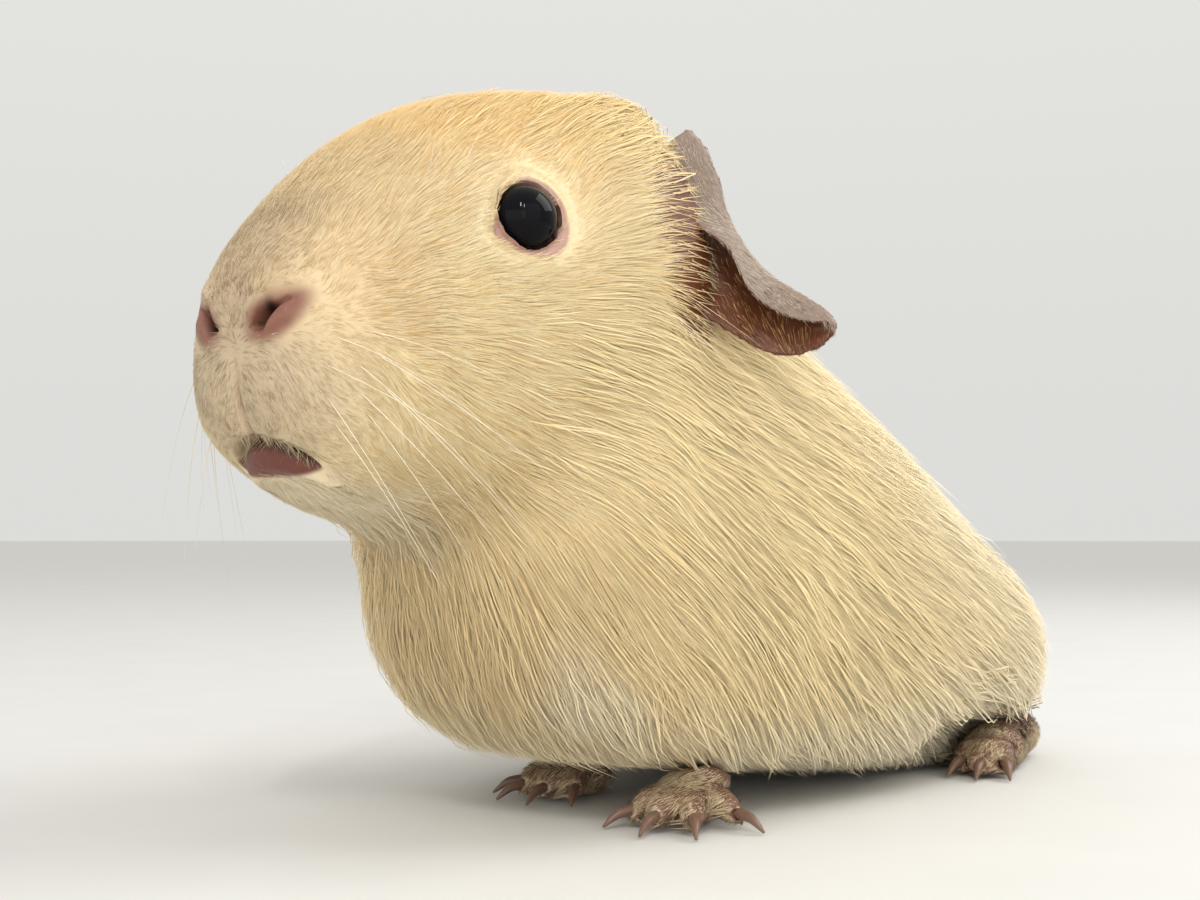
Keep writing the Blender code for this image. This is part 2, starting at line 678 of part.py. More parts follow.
def main():
    """Build every piece."""
    remove_everything()
    body = make_flesh()
    body = thin_out(body, BODY_TRIANGLES)
    body = keep_side(body, (0, 0, 0), (0, 0, -1))

    pieces = []
    for side, sign in (("left", 1), ("right", -1)):
        centre = head_place(sign * EYE_SIDE, EYE_BACK, EYE_UP)
        eye = ball("eye_" + side, centre, (EYE_RADIUS,) * 3, 16, 10)
        socket = ball("socket", centre, (EYE_RADIUS + GAP * 1.3,) * 3, 14, 8)
        body = boolean(body, eye_bowl(sign), "DIFFERENCE")
        body = boolean(body, socket, "DIFFERENCE")
        ear = make_ear(side, sign)
        ear = largest_piece(boolean(ear, grown(body, GAP), "DIFFERENCE"))
        pieces += [eye, ear]
    for side, sign in (("left", 1), ("right", -1)):
        foot, claws = make_forefoot(side)
        foot = boolean(foot, grown(body, GAP), "DIFFERENCE")
        foot = largest_piece(keep_side(foot, (0, 0, 0), (0, 0, -1)))
        pieces += [foot] + claws
        foot, claws = make_hindfoot(side, sign)
        body = boolean(body, foot_pocket(sign), "DIFFERENCE")
        pieces += [largest_piece(keep_side(foot, (0, 0, 0), (0, 0, -1)))] + claws

    for side, sign in (("left", 1), ("right", -1)):
        x, y = FOREFOOT_LEFT if side == "left" else FOREFOOT_RIGHT

        def leg_cutter(extra, x=x, y=y):
            spine = ((x, y + 6, 2), (x * 1.02, y + 8, 14), (x * 1.08, y + 9, 27))
            return tube("leg_cut", spine, [radius + extra for radius in LEG_CUT], 12, 1.0, 2)

        def haunch_cutter(extra, sign=sign):
            out, back, up, rx, ry, rz = HAUNCH_CUT
            return ball("haunch_cut", (sign * out, back, up), (rx + extra, ry + extra, rz + extra), 16, 10)

        body, leg = part_off(body, "foreleg_" + side, leg_cutter)
        body, haunch = part_off(body, "hindleg_" + side, haunch_cutter)
        pieces += [leg, haunch]

    body, jaw = part_off(body, "lower_jaw", jaw_block)
    front = cut_normal(NECK_FRONT)
    rear = cut_normal(NECK_BACK)
    head = keep_side(copy_of(body, "head"), NECK_FRONT[0], front, GAP / 2)
    neck = keep_side(copy_of(body, "neck"), NECK_FRONT[0], -front, GAP / 2)
    neck = keep_side(neck, NECK_BACK[0], rear, GAP / 2)
    trunk = keep_side(copy_of(body, "trunk"), NECK_BACK[0], -rear, GAP / 2)
    bpy.data.objects.remove(body, do_unlink=True)
    pieces += [jaw, largest_piece(head), largest_piece(neck), largest_piece(trunk)]
    finish(pieces)


main()
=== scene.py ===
"""Finish of a short-haired guinea pig: skin, coat, eyes, claws and whiskers.

Laid out as an add-on. Lengths inside the functions are millimetres; meshes are
made in metres. The animal faces -Y, its left side is +X, the floor is z = 0.
"""
import math

import bmesh
import bpy
import numpy as np
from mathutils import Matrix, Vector
from mathutils.bvhtree import BVHTree


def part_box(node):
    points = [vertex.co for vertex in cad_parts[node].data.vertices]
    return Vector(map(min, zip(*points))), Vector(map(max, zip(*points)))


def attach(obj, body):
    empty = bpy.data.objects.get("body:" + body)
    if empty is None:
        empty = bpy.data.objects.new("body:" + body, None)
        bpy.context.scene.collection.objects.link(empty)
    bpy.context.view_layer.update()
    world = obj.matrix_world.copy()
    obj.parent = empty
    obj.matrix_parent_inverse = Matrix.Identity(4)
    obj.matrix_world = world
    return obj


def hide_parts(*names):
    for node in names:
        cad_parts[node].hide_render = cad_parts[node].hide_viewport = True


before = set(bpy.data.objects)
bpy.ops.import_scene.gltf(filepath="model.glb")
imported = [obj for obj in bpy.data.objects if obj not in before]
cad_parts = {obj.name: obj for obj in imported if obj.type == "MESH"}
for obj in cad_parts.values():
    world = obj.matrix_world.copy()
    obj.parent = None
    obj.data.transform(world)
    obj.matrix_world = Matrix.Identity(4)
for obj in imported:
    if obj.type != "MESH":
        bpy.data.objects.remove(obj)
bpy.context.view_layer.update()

bl_info = {
    "name": "Guinea pig finish",
    "version": (1, 0, 0),
    "blender": (4, 5, 0),
    "location": "View3D > Sidebar > Guinea pig",
    "description": "Skin, coat, eyes, claws and whiskers of a short-haired guinea pig",
    "category": "Object",
}

MM = 0.001
SIDES = (("left", 1), ("right", -1))
FLESH = ("head", "lower_jaw", "neck", "trunk", "foreleg_left", "foreleg_right",
         "hindleg_left", "hindleg_right")
FINE_FLESH = ("ear_left", "ear_right", "forefoot_left", "forefoot_right",
              "hindfoot_left", "hindfoot_right")
ZONE_BODY, ZONE_EAR, ZONE_FOOT = 0, 1, 2


# ------------------------------------------------------------ the head's frame
def box_middle(node):
    """Middle of a node's box in millimetres."""
    low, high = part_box(node)
    return (np.array(low) + np.array(high)) / (2 * MM)


EYE_AT = {side: box_middle("eye_" + side) for side, _ in SIDES}
HEAD_PITCH = math.radians(-5.9)     # nose down from the level head
EYES_BEHIND_NOSE = (37.6, 12.4)     # back and up from the nose tip
EYE_AIM = (0.88, -0.42, 0.20)       # where the left eye looks: out, back, up
EYE_RADIUS = 5.1


def head_axes():
    """Side, back and up of the head as rows."""
    side = EYE_AT["left"] - EYE_AT["right"]
    side /= np.linalg.norm(side)
    level_back = np.array([-side[1], side[0], 0.0])
    up_world = np.array([0.0, 0.0, 1.0])
    back = level_back * math.cos(HEAD_PITCH) - up_world * math.sin(HEAD_PITCH)
    up = level_back * math.sin(HEAD_PITCH) + up_world * math.cos(HEAD_PITCH)
    return np.array([side, back, up])


HEAD_AXES = head_axes()
NOSE = ((EYE_AT["left"] + EYE_AT["right"]) / 2
        - HEAD_AXES[1] * EYES_BEHIND_NOSE[0] - HEAD_AXES[2] * EYES_BEHIND_NOSE[1])


def to_head(points):
    """World millimetres to side, back, up from the nose tip."""
    return (np.asarray(points) - NOSE) @ HEAD_AXES.T


def from_head(places):
    """Side, back, up from the nose tip to world millimetres."""
    return np.asarray(places, float) @ HEAD_AXES + NOSE


def turn_from_head(direction):
    """A direction in the head's frame as a unit vector in the world."""
    world = np.asarray(direction, float) @ HEAD_AXES
    return world / np.linalg.norm(world, axis=-1, keepdims=True)


# ----------------------------------------------------------------- small tools
def srgb(red, green, blue):
    """A paint colour given as 0-255 screen values, as linear light."""
    out = []
    for value in (red, green, blue):
        value /= 255
        out.append(value / 12.92 if value <= 0.04045 else ((value + 0.055) / 1.055) ** 2.4)
    return out


def step(value, low, high):
    """Zero below low, one above high, smooth between; low may be above high."""
    t = np.clip((value - low) / (high - low), 0, 1)
    return t * t * (3 - 2 * t)


def hump(value, middle, reach):
    """One at the middle, falling softly to nothing past the reach."""
    return np.exp(-((value - middle) / reach) ** 2)


def unit(vectors):
    """Each row at length one."""
    return vectors / np.maximum(np.linalg.norm(vectors, axis=-1, keepdims=True), 1e-9)


def waves(points, size, seed, count=7):
    """Soft noise between about -1 and 1 with features of a given size."""
    rng = np.random.default_rng(seed)
    total = np.zeros(len(points))
    for _ in range(count):
        turn = unit(rng.normal(size=(1, 3)))[0]
        total += np.sin(points @ turn * (2 * math.pi / size) * rng.uniform(0.7, 1.4) + rng.uniform(0, 6.3))
    return total / math.sqrt(count)


def link(name, mesh):
    """Put a mesh into the scene as an object."""
    piece = bpy.data.objects.new(name, mesh)
    bpy.context.scene.collection.objects.link(piece)
    return piece


def apply_stack(piece):
    """Turn an object's modifiers into plain mesh."""
    graph = bpy.context.evaluated_depsgraph_get()
    graph.update()
    done = bpy.data.meshes.new_from_object(piece.evaluated_get(graph))
    old = piece.data
    piece.modifiers.clear()
    piece.data = done
    bpy.data.meshes.remove(old)
    return piece


def welded(nodes, name, grow=0.0):
    """One object from copies of CAD nodes, each welded and pushed out a little."""
    whole = bmesh.new()
    for node in nodes:
        part = bmesh.new()
        part.from_mesh(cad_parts[node].data)
        bmesh.ops.remove_doubles(part, verts=part.verts, dist=2e-6)
        part.normal_update()
        for point in part.verts:
            point.co += point.normal * (grow * MM)
        mesh = bpy.data.meshes.new("part")
        part.to_mesh(mesh)
        part.free()
        whole.from_mesh(mesh)
        bpy.data.meshes.remove(mesh)
    mesh = bpy.data.meshes.new(name)
    whole.to_mesh(mesh)
    whole.free()
    return link(name, mesh)


def smoothed(piece, rounds):
    """A piece with its modifiers and some rounds of smoothing made plain mesh."""
    smooth = piece.modifiers.new("smooth", "SMOOTH")
    smooth.factor = 0.5
    smooth.iterations = rounds
    return apply_stack(piece)


def remesh(piece, voxel, rounds):
    """Fuse and smooth a piece."""
    fuse = piece.modifiers.new("fuse", "REMESH")
    fuse.mode = "VOXEL"
    fuse.voxel_size = voxel * MM
    return smoothed(piece, rounds)


def read_rows(items, key, width, kind=np.float32):
    """One value of every item of a mesh, as rows."""
    values = np.empty(len(items) * width, kind)
    items.foreach_get(key, values)
    return values.reshape(-1, width)


def read_points(mesh):
    """Points and normals of a mesh in millimetres."""
    points = read_rows(mesh.vertices, "co", 3)
    normals = read_rows(mesh.vertex_normals, "vector", 3)
    return points.astype(float) / MM, normals.astype(float)


def write_points(mesh, points):
    """Put moved points back into a mesh."""
    mesh.vertices.foreach_set("co", (points * MM).astype(np.float32).ravel())
    mesh.update()


def read_layer(mesh, name):
    """A named value at every point of a mesh."""
    return read_rows(mesh.attributes[name].data, "value", 1)[:, 0]


def write_layer(mesh, name, values):
    """Give every point of a mesh a named value."""
    layer = mesh.attributes.new(name, "FLOAT", "POINT")
    layer.data.foreach_set("value", values.astype(np.float32))


def surface_tree(mesh, kept=None):
    """A search tree over the faces of a mesh, or over those at kept points."""
    faces = [tuple(face.vertices) for face in mesh.polygons]
    if kept is not None:
        faces = [face for face in faces if kept[face[0]]]
    return BVHTree.FromPolygons([tuple(point.co) for point in mesh.vertices], faces)


# ------------------------------------------------------------- settings, shown
def number_setting(name, description, default, low, high):
    """A number against the natural one."""
    return bpy.props.FloatProperty(name=name, description=description, default=default, min=low, max=high)


def colour_setting(name, description, *screen):
    """A colour given as 0-255 screen values."""
    return bpy.props.FloatVectorProperty(
        name=name, description=description, subtype="COLOR", size=3, default=srgb(*screen))


class GuineaPigCoat(bpy.types.PropertyGroup):
    """Sizes and colours of the coat."""
    length: number_setting("Length", "Length of all hair against its natural length", 1.0, 0.3, 2.0)
    depth: number_setting("Depth", "How deep the skin lies under the tips, against natural", 1.0, 0.3, 2.0)
    fullness: number_setting("Fullness", "Number of tufts against the full coat", 1.0, 0.05, 1.2)
    clumping: number_setting("Clumping", "How far tips draw together into locks", 0.3, 0.0, 1.0)
    crown: colour_setting("Crown", "Colour of the top of the head", 249, 209, 136)
    cheek: colour_setting("Cheek", "Colour of cheeks and body", 253, 230, 176)
    pale: colour_setting("Pale", "Colour of belly, chin and eye ring", 253, 243, 216)
    muzzle: colour_setting("Muzzle", "Colour of the nose bridge", 168, 142, 106)


class GuineaPigSkin(bpy.types.PropertyGroup):
    """Colours of bare skin and claws, and the whiskers' thickness."""
    bare: colour_setting("Bare skin", "Colour of the nose", 134, 87, 70)
    lid: colour_setting("Lids", "Colour of the bare lids", 180, 142, 128)
    lip: colour_setting("Lip", "Colour of the lower lip", 106, 54, 42)
    ear_back: colour_setting("Ear back", "Colour of the back of the ears", 136, 115, 100)
    # the ears' inner colour darkened with painted shade; the same paint is put before each ear's root as
    # painted shade
    ear_inside_and_shade: colour_setting("Ear inside", "Colour of the inside of the ears", 100, 52, 26)
    foot: colour_setting("Foot", "Colour of the bare feet", 116, 80, 64)
    claw: colour_setting("Claw", "Colour of the claws", 120, 92, 76)
    whisker: bpy.props.FloatProperty(
        name="Whisker", description="Diameter of a whisker at its root", default=0.00013,
        unit="LENGTH", precision=5)


# ---------------------------------------------------------------- the body map
def eye_distance(points):
    """Distance of each place to the nearer eye's middle."""
    return np.minimum(*(np.linalg.norm(points - EYE_AT[side], axis=1) for side, _ in SIDES))


def ear_root(head):
    """How near a place is to the long hair round the root of an ear."""
    side, back, up = head.T
    return step(back, 45, 56) * step(back, 84, 74) * step(np.abs(side), 11, 18) * step(up, -10, 3)


def ear_socket(head):
    """How near a place is to the bare skin before the root of an ear, which is painted dark as shade."""
    side, back, up = head.T
    front = step(back, 55, 59) * step(back, 73, 69)
    return front * step(np.abs(side), 15, 19) * step(up, -9, -4) * step(up, 29, 24)


def coat_depth(points, head):
    """How far the skin lies under the tips of the coat."""
    back = head[:, 1]
    depth = 0.3 + 0.8 * step(back, 3, 24) + 0.6 * step(back, 24, 60) + 1.3 * step(back, 60, 90)
    low = step(points[:, 2], 16, 4)
    trunk = step(points[:, 1], -52, -20)
    depth = np.maximum(depth, 3.2 * trunk * (1 - 0.75 * low))
    throat = step(points[:, 2], 52, 36) * step(points[:, 1], -20, -40)
    depth = np.maximum(depth, 2.8 * throat * (1 - 0.7 * low))
    depth = depth * (1 - 0.85 * ear_root(head))
    return depth * (0.35 + 0.65 * step(eye_distance(points), 6, 14))


FOOT_HAIR, EAR_HAIR = 2.4, 1.8      # length


def hair_length(points, head, zone):
    """Length of the hair by place."""
    _, back, up = head.T
    face = 2.5 + 2.1 * step(back, 2, 20) + 2.2 * step(back, 20, 45) + 2.4 * step(back, 42, 66)
    face = face + 2.0 * step(up, 14, -12) * step(back, 18, 46)
    face = face * (0.35 + 0.65 * step(eye_distance(points), 5.5, 14))
    face = face + ear_root(head) * (2.4 * step(up, 18, 24) - 2.6 * step(up, 23, 17) * step(back, 63, 58))
    trunk = 9.0 + 2.2 * step(points[:, 1], -60, -10)
    on_trunk = np.maximum(step(back, 64, 90), step(up, -20, -40) * step(back, 4, 18))
    length = face * (1 - on_trunk) + trunk * on_trunk
    length *= 1 - 0.5 * step(points[:, 2], 14, 3)
    length = np.where(zone == ZONE_FOOT, FOOT_HAIR, length)
    return np.where(zone == ZONE_EAR, EAR_HAIR, length)


WANDER = ((9.0, 0.16, (3, 4, 5)), (3.5, 0.06, (6, 7, 8)))   # size, strength, seeds of the hair's wander


def lie_of_coat(points, normals, head, zone):
    """Unit direction in which the hair lies at each root."""
    from_nose = unit(head - np.array([0.0, 9.0, -3.0]))
    cleft = step(np.abs(head[:, 0]), 2.5, 0.0) * step(head[:, 1], 12, 6)
    from_nose[:, 0] += 0.45 * np.sin(5 * head[:, 2]) * cleft
    from_nose[:, 2] -= 0.55 * step(head[:, 1], 15, 60) * step(head[:, 2], 14, -8)
    on_head = from_nose @ HEAD_AXES
    on_body = np.tile(np.array([0.0, 0.62, -0.78]), (len(points), 1))
    on_body[:, 1] += 0.5 * step(points[:, 1], -40, 20)
    blend = np.maximum(step(head[:, 1], 58, 84), step(head[:, 2], -24, -44))[:, None]
    lie = on_head * (1 - blend) + on_body * blend
    feet = np.array([0.0, -1.0, -0.25])
    lie = np.where((zone == ZONE_FOOT)[:, None], feet, lie)
    away = np.array([0.0, 0.35, -1.0])
    lie = np.where((zone == ZONE_EAR)[:, None], away, lie)
    for size, strength, seeds in WANDER:
        lie = lie + strength * np.stack([waves(points, size, seed) for seed in seeds], axis=1)
    lie -= normals * np.sum(lie * normals, axis=1, keepdims=True)
    return unit(lie)


# -------------------------------------------------------------------- the skin
LID_OUTLINE = (                     # turn from the back corner, opening radius
    (0, 3.95), (45, 4.25), (90, 4.5), (135, 3.45), (180, 3.55), (211, 4.95),
    (240, 4.0), (270, 3.85), (295, 4.45), (325, 4.45))
LID_SNAP = 0.13                     # faces this near the opening's edge are drawn onto it


def lid_opening(turn):
    """Radius of the eye's opening at a turn in radians."""
    keys = np.radians([row[0] for row in LID_OUTLINE] + [360])
    sizes = np.array([row[1] for row in LID_OUTLINE] + [LID_OUTLINE[0][1]])
    fine = np.linspace(0, 2 * math.pi, 181)
    curve = np.interp(fine, keys, sizes)
    for _ in range(5):
        curve = (np.roll(curve[:-1], 1) + 2 * curve[:-1] + np.roll(curve[:-1], -1)) / 4
        curve = np.append(curve, curve[0])
    return np.interp(np.mod(turn, 2 * math.pi), fine, curve)


def eye_axes(sign):
    """Back, up and out of one eye as rows."""
    out = turn_from_head((sign * EYE_AIM[0], EYE_AIM[1], EYE_AIM[2]))
    up = np.array([0.0, 0.0, 1.0])
    up = unit((up - out * (up @ out))[None])[0]
    back = np.cross(up, out) if sign > 0 else np.cross(out, up)
    return np.array([back, up, out])


def seen_by_eye(points, side, sign):
    """Places in one eye's frame, how far off its line of sight they lie, and their turn."""
    local = (points - EYE_AT[side]) @ eye_axes(sign).T
    return local, np.hypot(local[:, 0], local[:, 1]), np.arctan2(local[:, 1], local[:, 0])


def shape_lids(points):
    """Drape the skin over the eyeball outside the opening and tuck it in inside."""
    for side, sign in SIDES:
        local, off, turn = seen_by_eye(points, side, sign)
        near = (off < 12) & (local[:, 2] > 0)
        opening = lid_opening(turn)
        shell = EYE_RADIUS + 0.55
        over = np.sqrt(np.maximum(shell ** 2 - np.minimum(off, shell - 0.4) ** 2, 0.3))
        inside = step(off - opening, -LID_SNAP, -LID_SNAP - 0.1)
        under = np.sqrt(np.maximum((EYE_RADIUS - 0.9) ** 2 - np.minimum(off, 3.9) ** 2, 0.2))
        height = over * (1 - inside) + under * inside
        drape = step(off - opening, 4.2, 0.8)
        moved = local[:, 2] * (1 - drape) + height * drape
        moved -= 0.25 * hump(off - opening, 2.5, 0.45) * drape
        edge = near & (np.abs(off - opening) < LID_SNAP)
        local[edge, :2] *= (opening / np.maximum(off, 1.0))[edge, None]
        local[:, 2] = np.where(near, moved, local[:, 2])
        points = np.where(near[:, None], local @ eye_axes(sign) + EYE_AT[side], points)
    return points


NOSTRIL = (3.6, 8.4, -1.4, 1.7)     # slit from its inner to its outer end: side, side, up, up
NOSTRIL_CORE = 5.3                  # side of its widest, deepest place
MOUTH_LEVEL = -16.2                 # of the slit at the midline
MOUTH_FALL = 0.055                  # how fast the slit falls to its corners
LIP_HALF = 7.6                      # half width of the mouth


def nostril_field(side, up, sign):
    """How deep a place lies in one nostril, its height over the slit, and its side outwards."""
    inner, outer, low, high = NOSTRIL
    s = sign * side
    run = np.clip((s - inner) / (outer - inner), 0, 1)
    line = low + (high - low) * run ** 0.9
    thick = 0.34 + 1.2 * hump(s, NOSTRIL_CORE, 1.2)
    past = np.maximum(0, np.maximum(inner - s, s - outer))
    return hump(up, line, thick) * hump(past, 0, 0.45), up - line, s


def mouth_field(side, up):
    """Height of a place over the slit and how near it is to the middle."""
    return up - (MOUTH_LEVEL - MOUTH_FALL * side ** 2), 1 - (np.abs(side) / LIP_HALF) ** 2


def shape_muzzle(points, normals):
    """Nostrils, the cleft lip and the mouth."""
    side, back, up = to_head(points).T
    push = np.zeros(len(points))
    front = step(back, 14, 9)
    for sign in (-1, 1):
        hole, over, s = nostril_field(side, up, sign)
        wing = hump(s, 6.0, 3.4) * hump(over, 2.4, 1.2)
        fold = hump(s, 6.8, 2.8) * hump(over, -2.0, 1.0)
        pad = hump(s, 4.8, 3.2) * hump(up, -10.5, 4.4)
        sink = 3.0 * hole * (1 - 0.8 * step(s, 5.6, 8.0))
        push += front * (0.5 * wing + 0.6 * fold + 0.8 * pad - sink)
    push -= front * 0.45 * hump(side, 0, 0.5) * step(up, -3.0, -8.0) * step(up, -17.5, -15.0)
    over, middle = mouth_field(side, up)
    mouth = step(back, 19, 12) * step(middle, 0.0, 0.35)
    push += mouth * (hump(over, -2.9, 1.5) - 2.4 * hump(over, -0.1, 0.7))
    return points + normals * push[:, None]


REFINED = ((18.0, 11.0), (10.0, 8.0), (0.0, 5.9))   # for each halving: reach back, reach round an eye


def refine_face(piece):
    """Finer faces where the nose, the mouth and the lids are shaped, finest at their edges."""
    for within, round_eye in REFINED:
        work = bmesh.new()
        work.from_mesh(piece.data)
        middles = np.array([face.calc_center_median()[:] for face in work.faces]) / MM
        head = to_head(middles)
        near = (head[:, 1] < within) & (head[:, 2] > -32)
        if not within:
            near = (np.abs(head[:, 0]) < 11.5) & (head[:, 1] < 8) & (np.abs(head[:, 2] - 0.5) < 5)
            near |= (np.abs(head[:, 0]) < 8.5) & (head[:, 1] < 15) & (np.abs(head[:, 2] + 18.5) < 4.5)
        for side, _ in SIDES:
            near |= np.linalg.norm(middles - EYE_AT[side], axis=1) < round_eye
        work.faces.ensure_lookup_table()
        edges = {edge for k in np.nonzero(near)[0] for edge in work.faces[k].edges}
        bmesh.ops.subdivide_edges(work, edges=list(edges), cuts=1, use_grid_fill=True)
        work.to_mesh(piece.data)
        work.free()
    return smoothed(piece, 3)


EAR_RIM = (                         # side and up along the front edge of the ear
    (24, 22), (27, 14.5), (30, 9.5), (33, 5.0), (36, 0.0), (40, -3.6), (44, -4.7), (48, -5.0))
EAR_REACH = 0.030                   # how far the inside of an ear looks for the head


def enclosed(points, normals, tree):
    """Share of the ways out of each place that meet the animal again."""
    fan = np.array([(0, 0, 0), (1, 0, 0), (-1, 0, 0), (0, 1, 0), (0, -1, 0), (0, 0, 1), (0, 0, -1)])
    share = np.empty(len(points))
    for k, (point, normal) in enumerate(zip(points, normals)):
        start = Vector((point + normal * 0.4) * MM)
        hits = [tree.ray_cast(start, Vector(normal + 0.9 * way), EAR_REACH)[0] is not None for way in fan]
        share[k] = np.mean(hits)
    return share


def skin_masks(points, normals, zone, tree):
    """Where the skin is bare or lip-coloured, where painted shade darkens the nostrils, the mouth's slit and
    the skin before each ear, and where the ears' inner side shows its own colour with painted shade.
    """
    side, back, up = to_head(points).T
    front = step(back, 13, 8)
    bare = np.zeros(len(points))
    # deep: painted shade, a near-black put in the nostril holes and the mouth's slit
    deep = np.zeros(len(points))
    for sign in (-1, 1):
        hole, over, s = nostril_field(side, up, sign)
        ring = ((s - 6.8) / 5.0) ** 2 + ((up + 0.2 - 0.3 * (s - 6.5)) / 3.9) ** 2
        hairy = 1 - 0.5 * step(up - 0.3 * (s - 6.5), 0.8, 2.8)
        bare = np.maximum(bare, front * step(ring, 1.15, 0.3) * hairy)
        # painted shade inside each nostril, darkest at its widest place
        core = 0.15 + 0.85 * hump(s, NOSTRIL_CORE, 1.3)
        deep = np.maximum(deep, front * core * step(hole, 0.12, 0.6))
    cleft = step(np.abs(side), 1.0, 0.2) * step(up, -6, -10) * step(up, -18, -15) * front
    over, middle = mouth_field(side, up)
    low = step(back, 17, 13)
    reach = 4.8 * np.clip(middle, 0, 1) ** 0.7
    lip = low * step(over, 0.8, 0.1) * step(over + reach, -0.4, 0.5) * step(middle, 0, 0.1)
    # painted shade in the mouth's slit
    deep = np.maximum(deep, low * 0.85 * hump(over, -0.1, 0.8) * step(middle, 0.05, 0.3))
    bare = np.maximum(np.maximum(bare, 0.3 * cleft), lip)
    lid = np.zeros(len(points))
    for name, sign in SIDES:
        local, off, turn = seen_by_eye(points, name, sign)
        width = 1.35 + 0.65 * np.cos(turn + 0.7)
        lid = np.maximum(lid, step(off - lid_opening(turn) - width, 0.7, -0.3) * (local[:, 2] > 0))
    bare = np.maximum(bare, lid)
    own = zone == ZONE_BODY
    ear = zone == ZONE_EAR
    # hollow: on the body, painted shade before each ear's root
    hollow = ear_socket(to_head(points)) * own
    rim = np.interp(np.abs(side), *zip(*EAR_RIM))
    forward = step(-(normals @ turn_from_head((0.0, 1.0, 0.0))), -0.05, 0.2)
    # on the ears: painted shade where rays meet the animal again and under the front rim, over the inner
    # side's own darker colour
    hollow[ear] = np.maximum(step(enclosed(points[ear], normals[ear], tree), 0.4, 0.75),
                             (forward * step(rim - up, -0.35, 0.35))[ear])
    return {"bare": bare, "lid": lid * own, "lip": lip * own, "deep": deep * own, "hollow": hollow}


EAR_INSET = 0.3                     # the ear's skin under its short hair
EAR_PULL = 3.2                      # how far an ear's root is drawn into the head
EARS_ABOVE = 25                     # level between the feet and the ears
BODY_VOXEL, BODY_SMOOTHING = 1.6, 6
FINE_VOXEL, FINE_SMOOTHING = 0.66, 3
FUSING = 0.25                       # how far the body's pieces are pushed into each other


def root_ears(points, body):
    """Draw the ear roots into the head, which lies deeper than the coat."""
    spot, normal = nearest_on(surface_tree(body.data), points)
    gap = np.linalg.norm(points - spot, axis=1)
    pull = step(gap, 5.0, 1.5) * (points[:, 2] > EARS_ABOVE)
    return points - normal * (EAR_PULL * pull)[:, None]


def make_skin(settings):
    """One skin over all the flesh, with ears and feet grown into it."""
    body = remesh(welded(FLESH, "skin", grow=FUSING), BODY_VOXEL, BODY_SMOOTHING)
    points, normals = read_points(body.data)
    depth = coat_depth(points, to_head(points)) * settings.depth
    write_points(body.data, points - normals * depth[:, None])
    body = refine_face(body)
    points, normals = read_points(body.data)
    write_points(body.data, shape_muzzle(points, normals))
    points, _ = read_points(body.data)
    write_points(body.data, shape_lids(points))
    body_count = len(body.data.vertices)
    fine = remesh(welded(FINE_FLESH, "fine"), FINE_VOXEL, FINE_SMOOTHING)
    points, normals = read_points(fine.data)
    points = points - normals * np.where(points[:, 2] > EARS_ABOVE, EAR_INSET, 0.0)[:, None]
    write_points(fine.data, root_ears(points, body))
    whole = bmesh.new()
    whole.from_mesh(body.data)
    whole.from_mesh(fine.data)
    whole.to_mesh(body.data)
    whole.free()
    bpy.data.objects.remove(fine, do_unlink=True)
    points, normals = read_points(body.data)
    zone = np.zeros(len(points))
    zone[body_count:] = np.where(points[body_count:, 2] > EARS_ABOVE, ZONE_EAR, ZONE_FOOT)
    masks = skin_masks(points, normals, zone, surface_tree(body.data))
    for name, values in (("zone", zone), *masks.items()):
        write_layer(body.data, name, values)
    body.data.shade_smooth()
    body.data.uv_layers.new(name="OFBake")
    bpy.context.view_layer.objects.active = body
    body.select_set(True)
    bpy.ops.object.mode_set(mode="EDIT")
    bpy.ops.mesh.select_all(action="SELECT")
    bpy.ops.uv.smart_project(angle_limit=math.radians(66), island_margin=0.002)
    bpy.ops.object.mode_set(mode="OBJECT")
    body.select_set(False)
    return body


# -------------------------------------------------------------------- the coat
def sample_skin(mesh, density, rng):
    """Random places on a mesh with their normals, OFBake places and masks."""
    mesh.calc_loop_triangles()
    count = len(mesh.loop_triangles)
    corners = read_rows(mesh.loop_triangles, "vertices", 3, np.int32)
    loops = read_rows(mesh.loop_triangles, "loops", 3, np.int32)
    points, normals = read_points(mesh)
    uv = read_rows(mesh.uv_layers["OFBake"].uv, "vector", 2)
    layers = {name: read_layer(mesh, name) for name in ("zone", "bare", "hollow")}
    a, b, c = (points[corners[:, k]] for k in range(3))
    area = np.linalg.norm(np.cross(b - a, c - a), axis=1) / 2
    middle = (a + b + c) / 3
    wanted = area * density(middle, layers["zone"][corners[:, 0]])
    number = np.floor(wanted + rng.random(count)).astype(int)
    pick = np.repeat(np.arange(count), number)
    r = np.sqrt(rng.random(len(pick)))
    t = rng.random(len(pick))
    share = np.stack([1 - r, r * (1 - t), r * t], axis=1)[:, :, None]
    chosen = corners[pick]
    return {
        "at": np.sum(points[chosen] * share, axis=1),
        "normal": unit(np.sum(normals[chosen] * share, axis=1)),
        "uv": np.sum(uv[loops[pick]] * share, axis=1),
        "zone": layers["zone"][chosen[:, 0]],
        "bare": np.sum(layers["bare"][chosen] * share[:, :, 0], axis=1),
        "hollow": np.sum(layers["hollow"][chosen] * share[:, :, 0], axis=1),
    }


def nearest_on(tree, points):
    """Closest place and normal on the skin for each point."""
    at = np.empty_like(points)
    normal = np.empty_like(points)
    for k, point in enumerate(points * MM):
        at[k], normal[k], _, _ = tree.find_nearest(point)
    return at / MM, normal


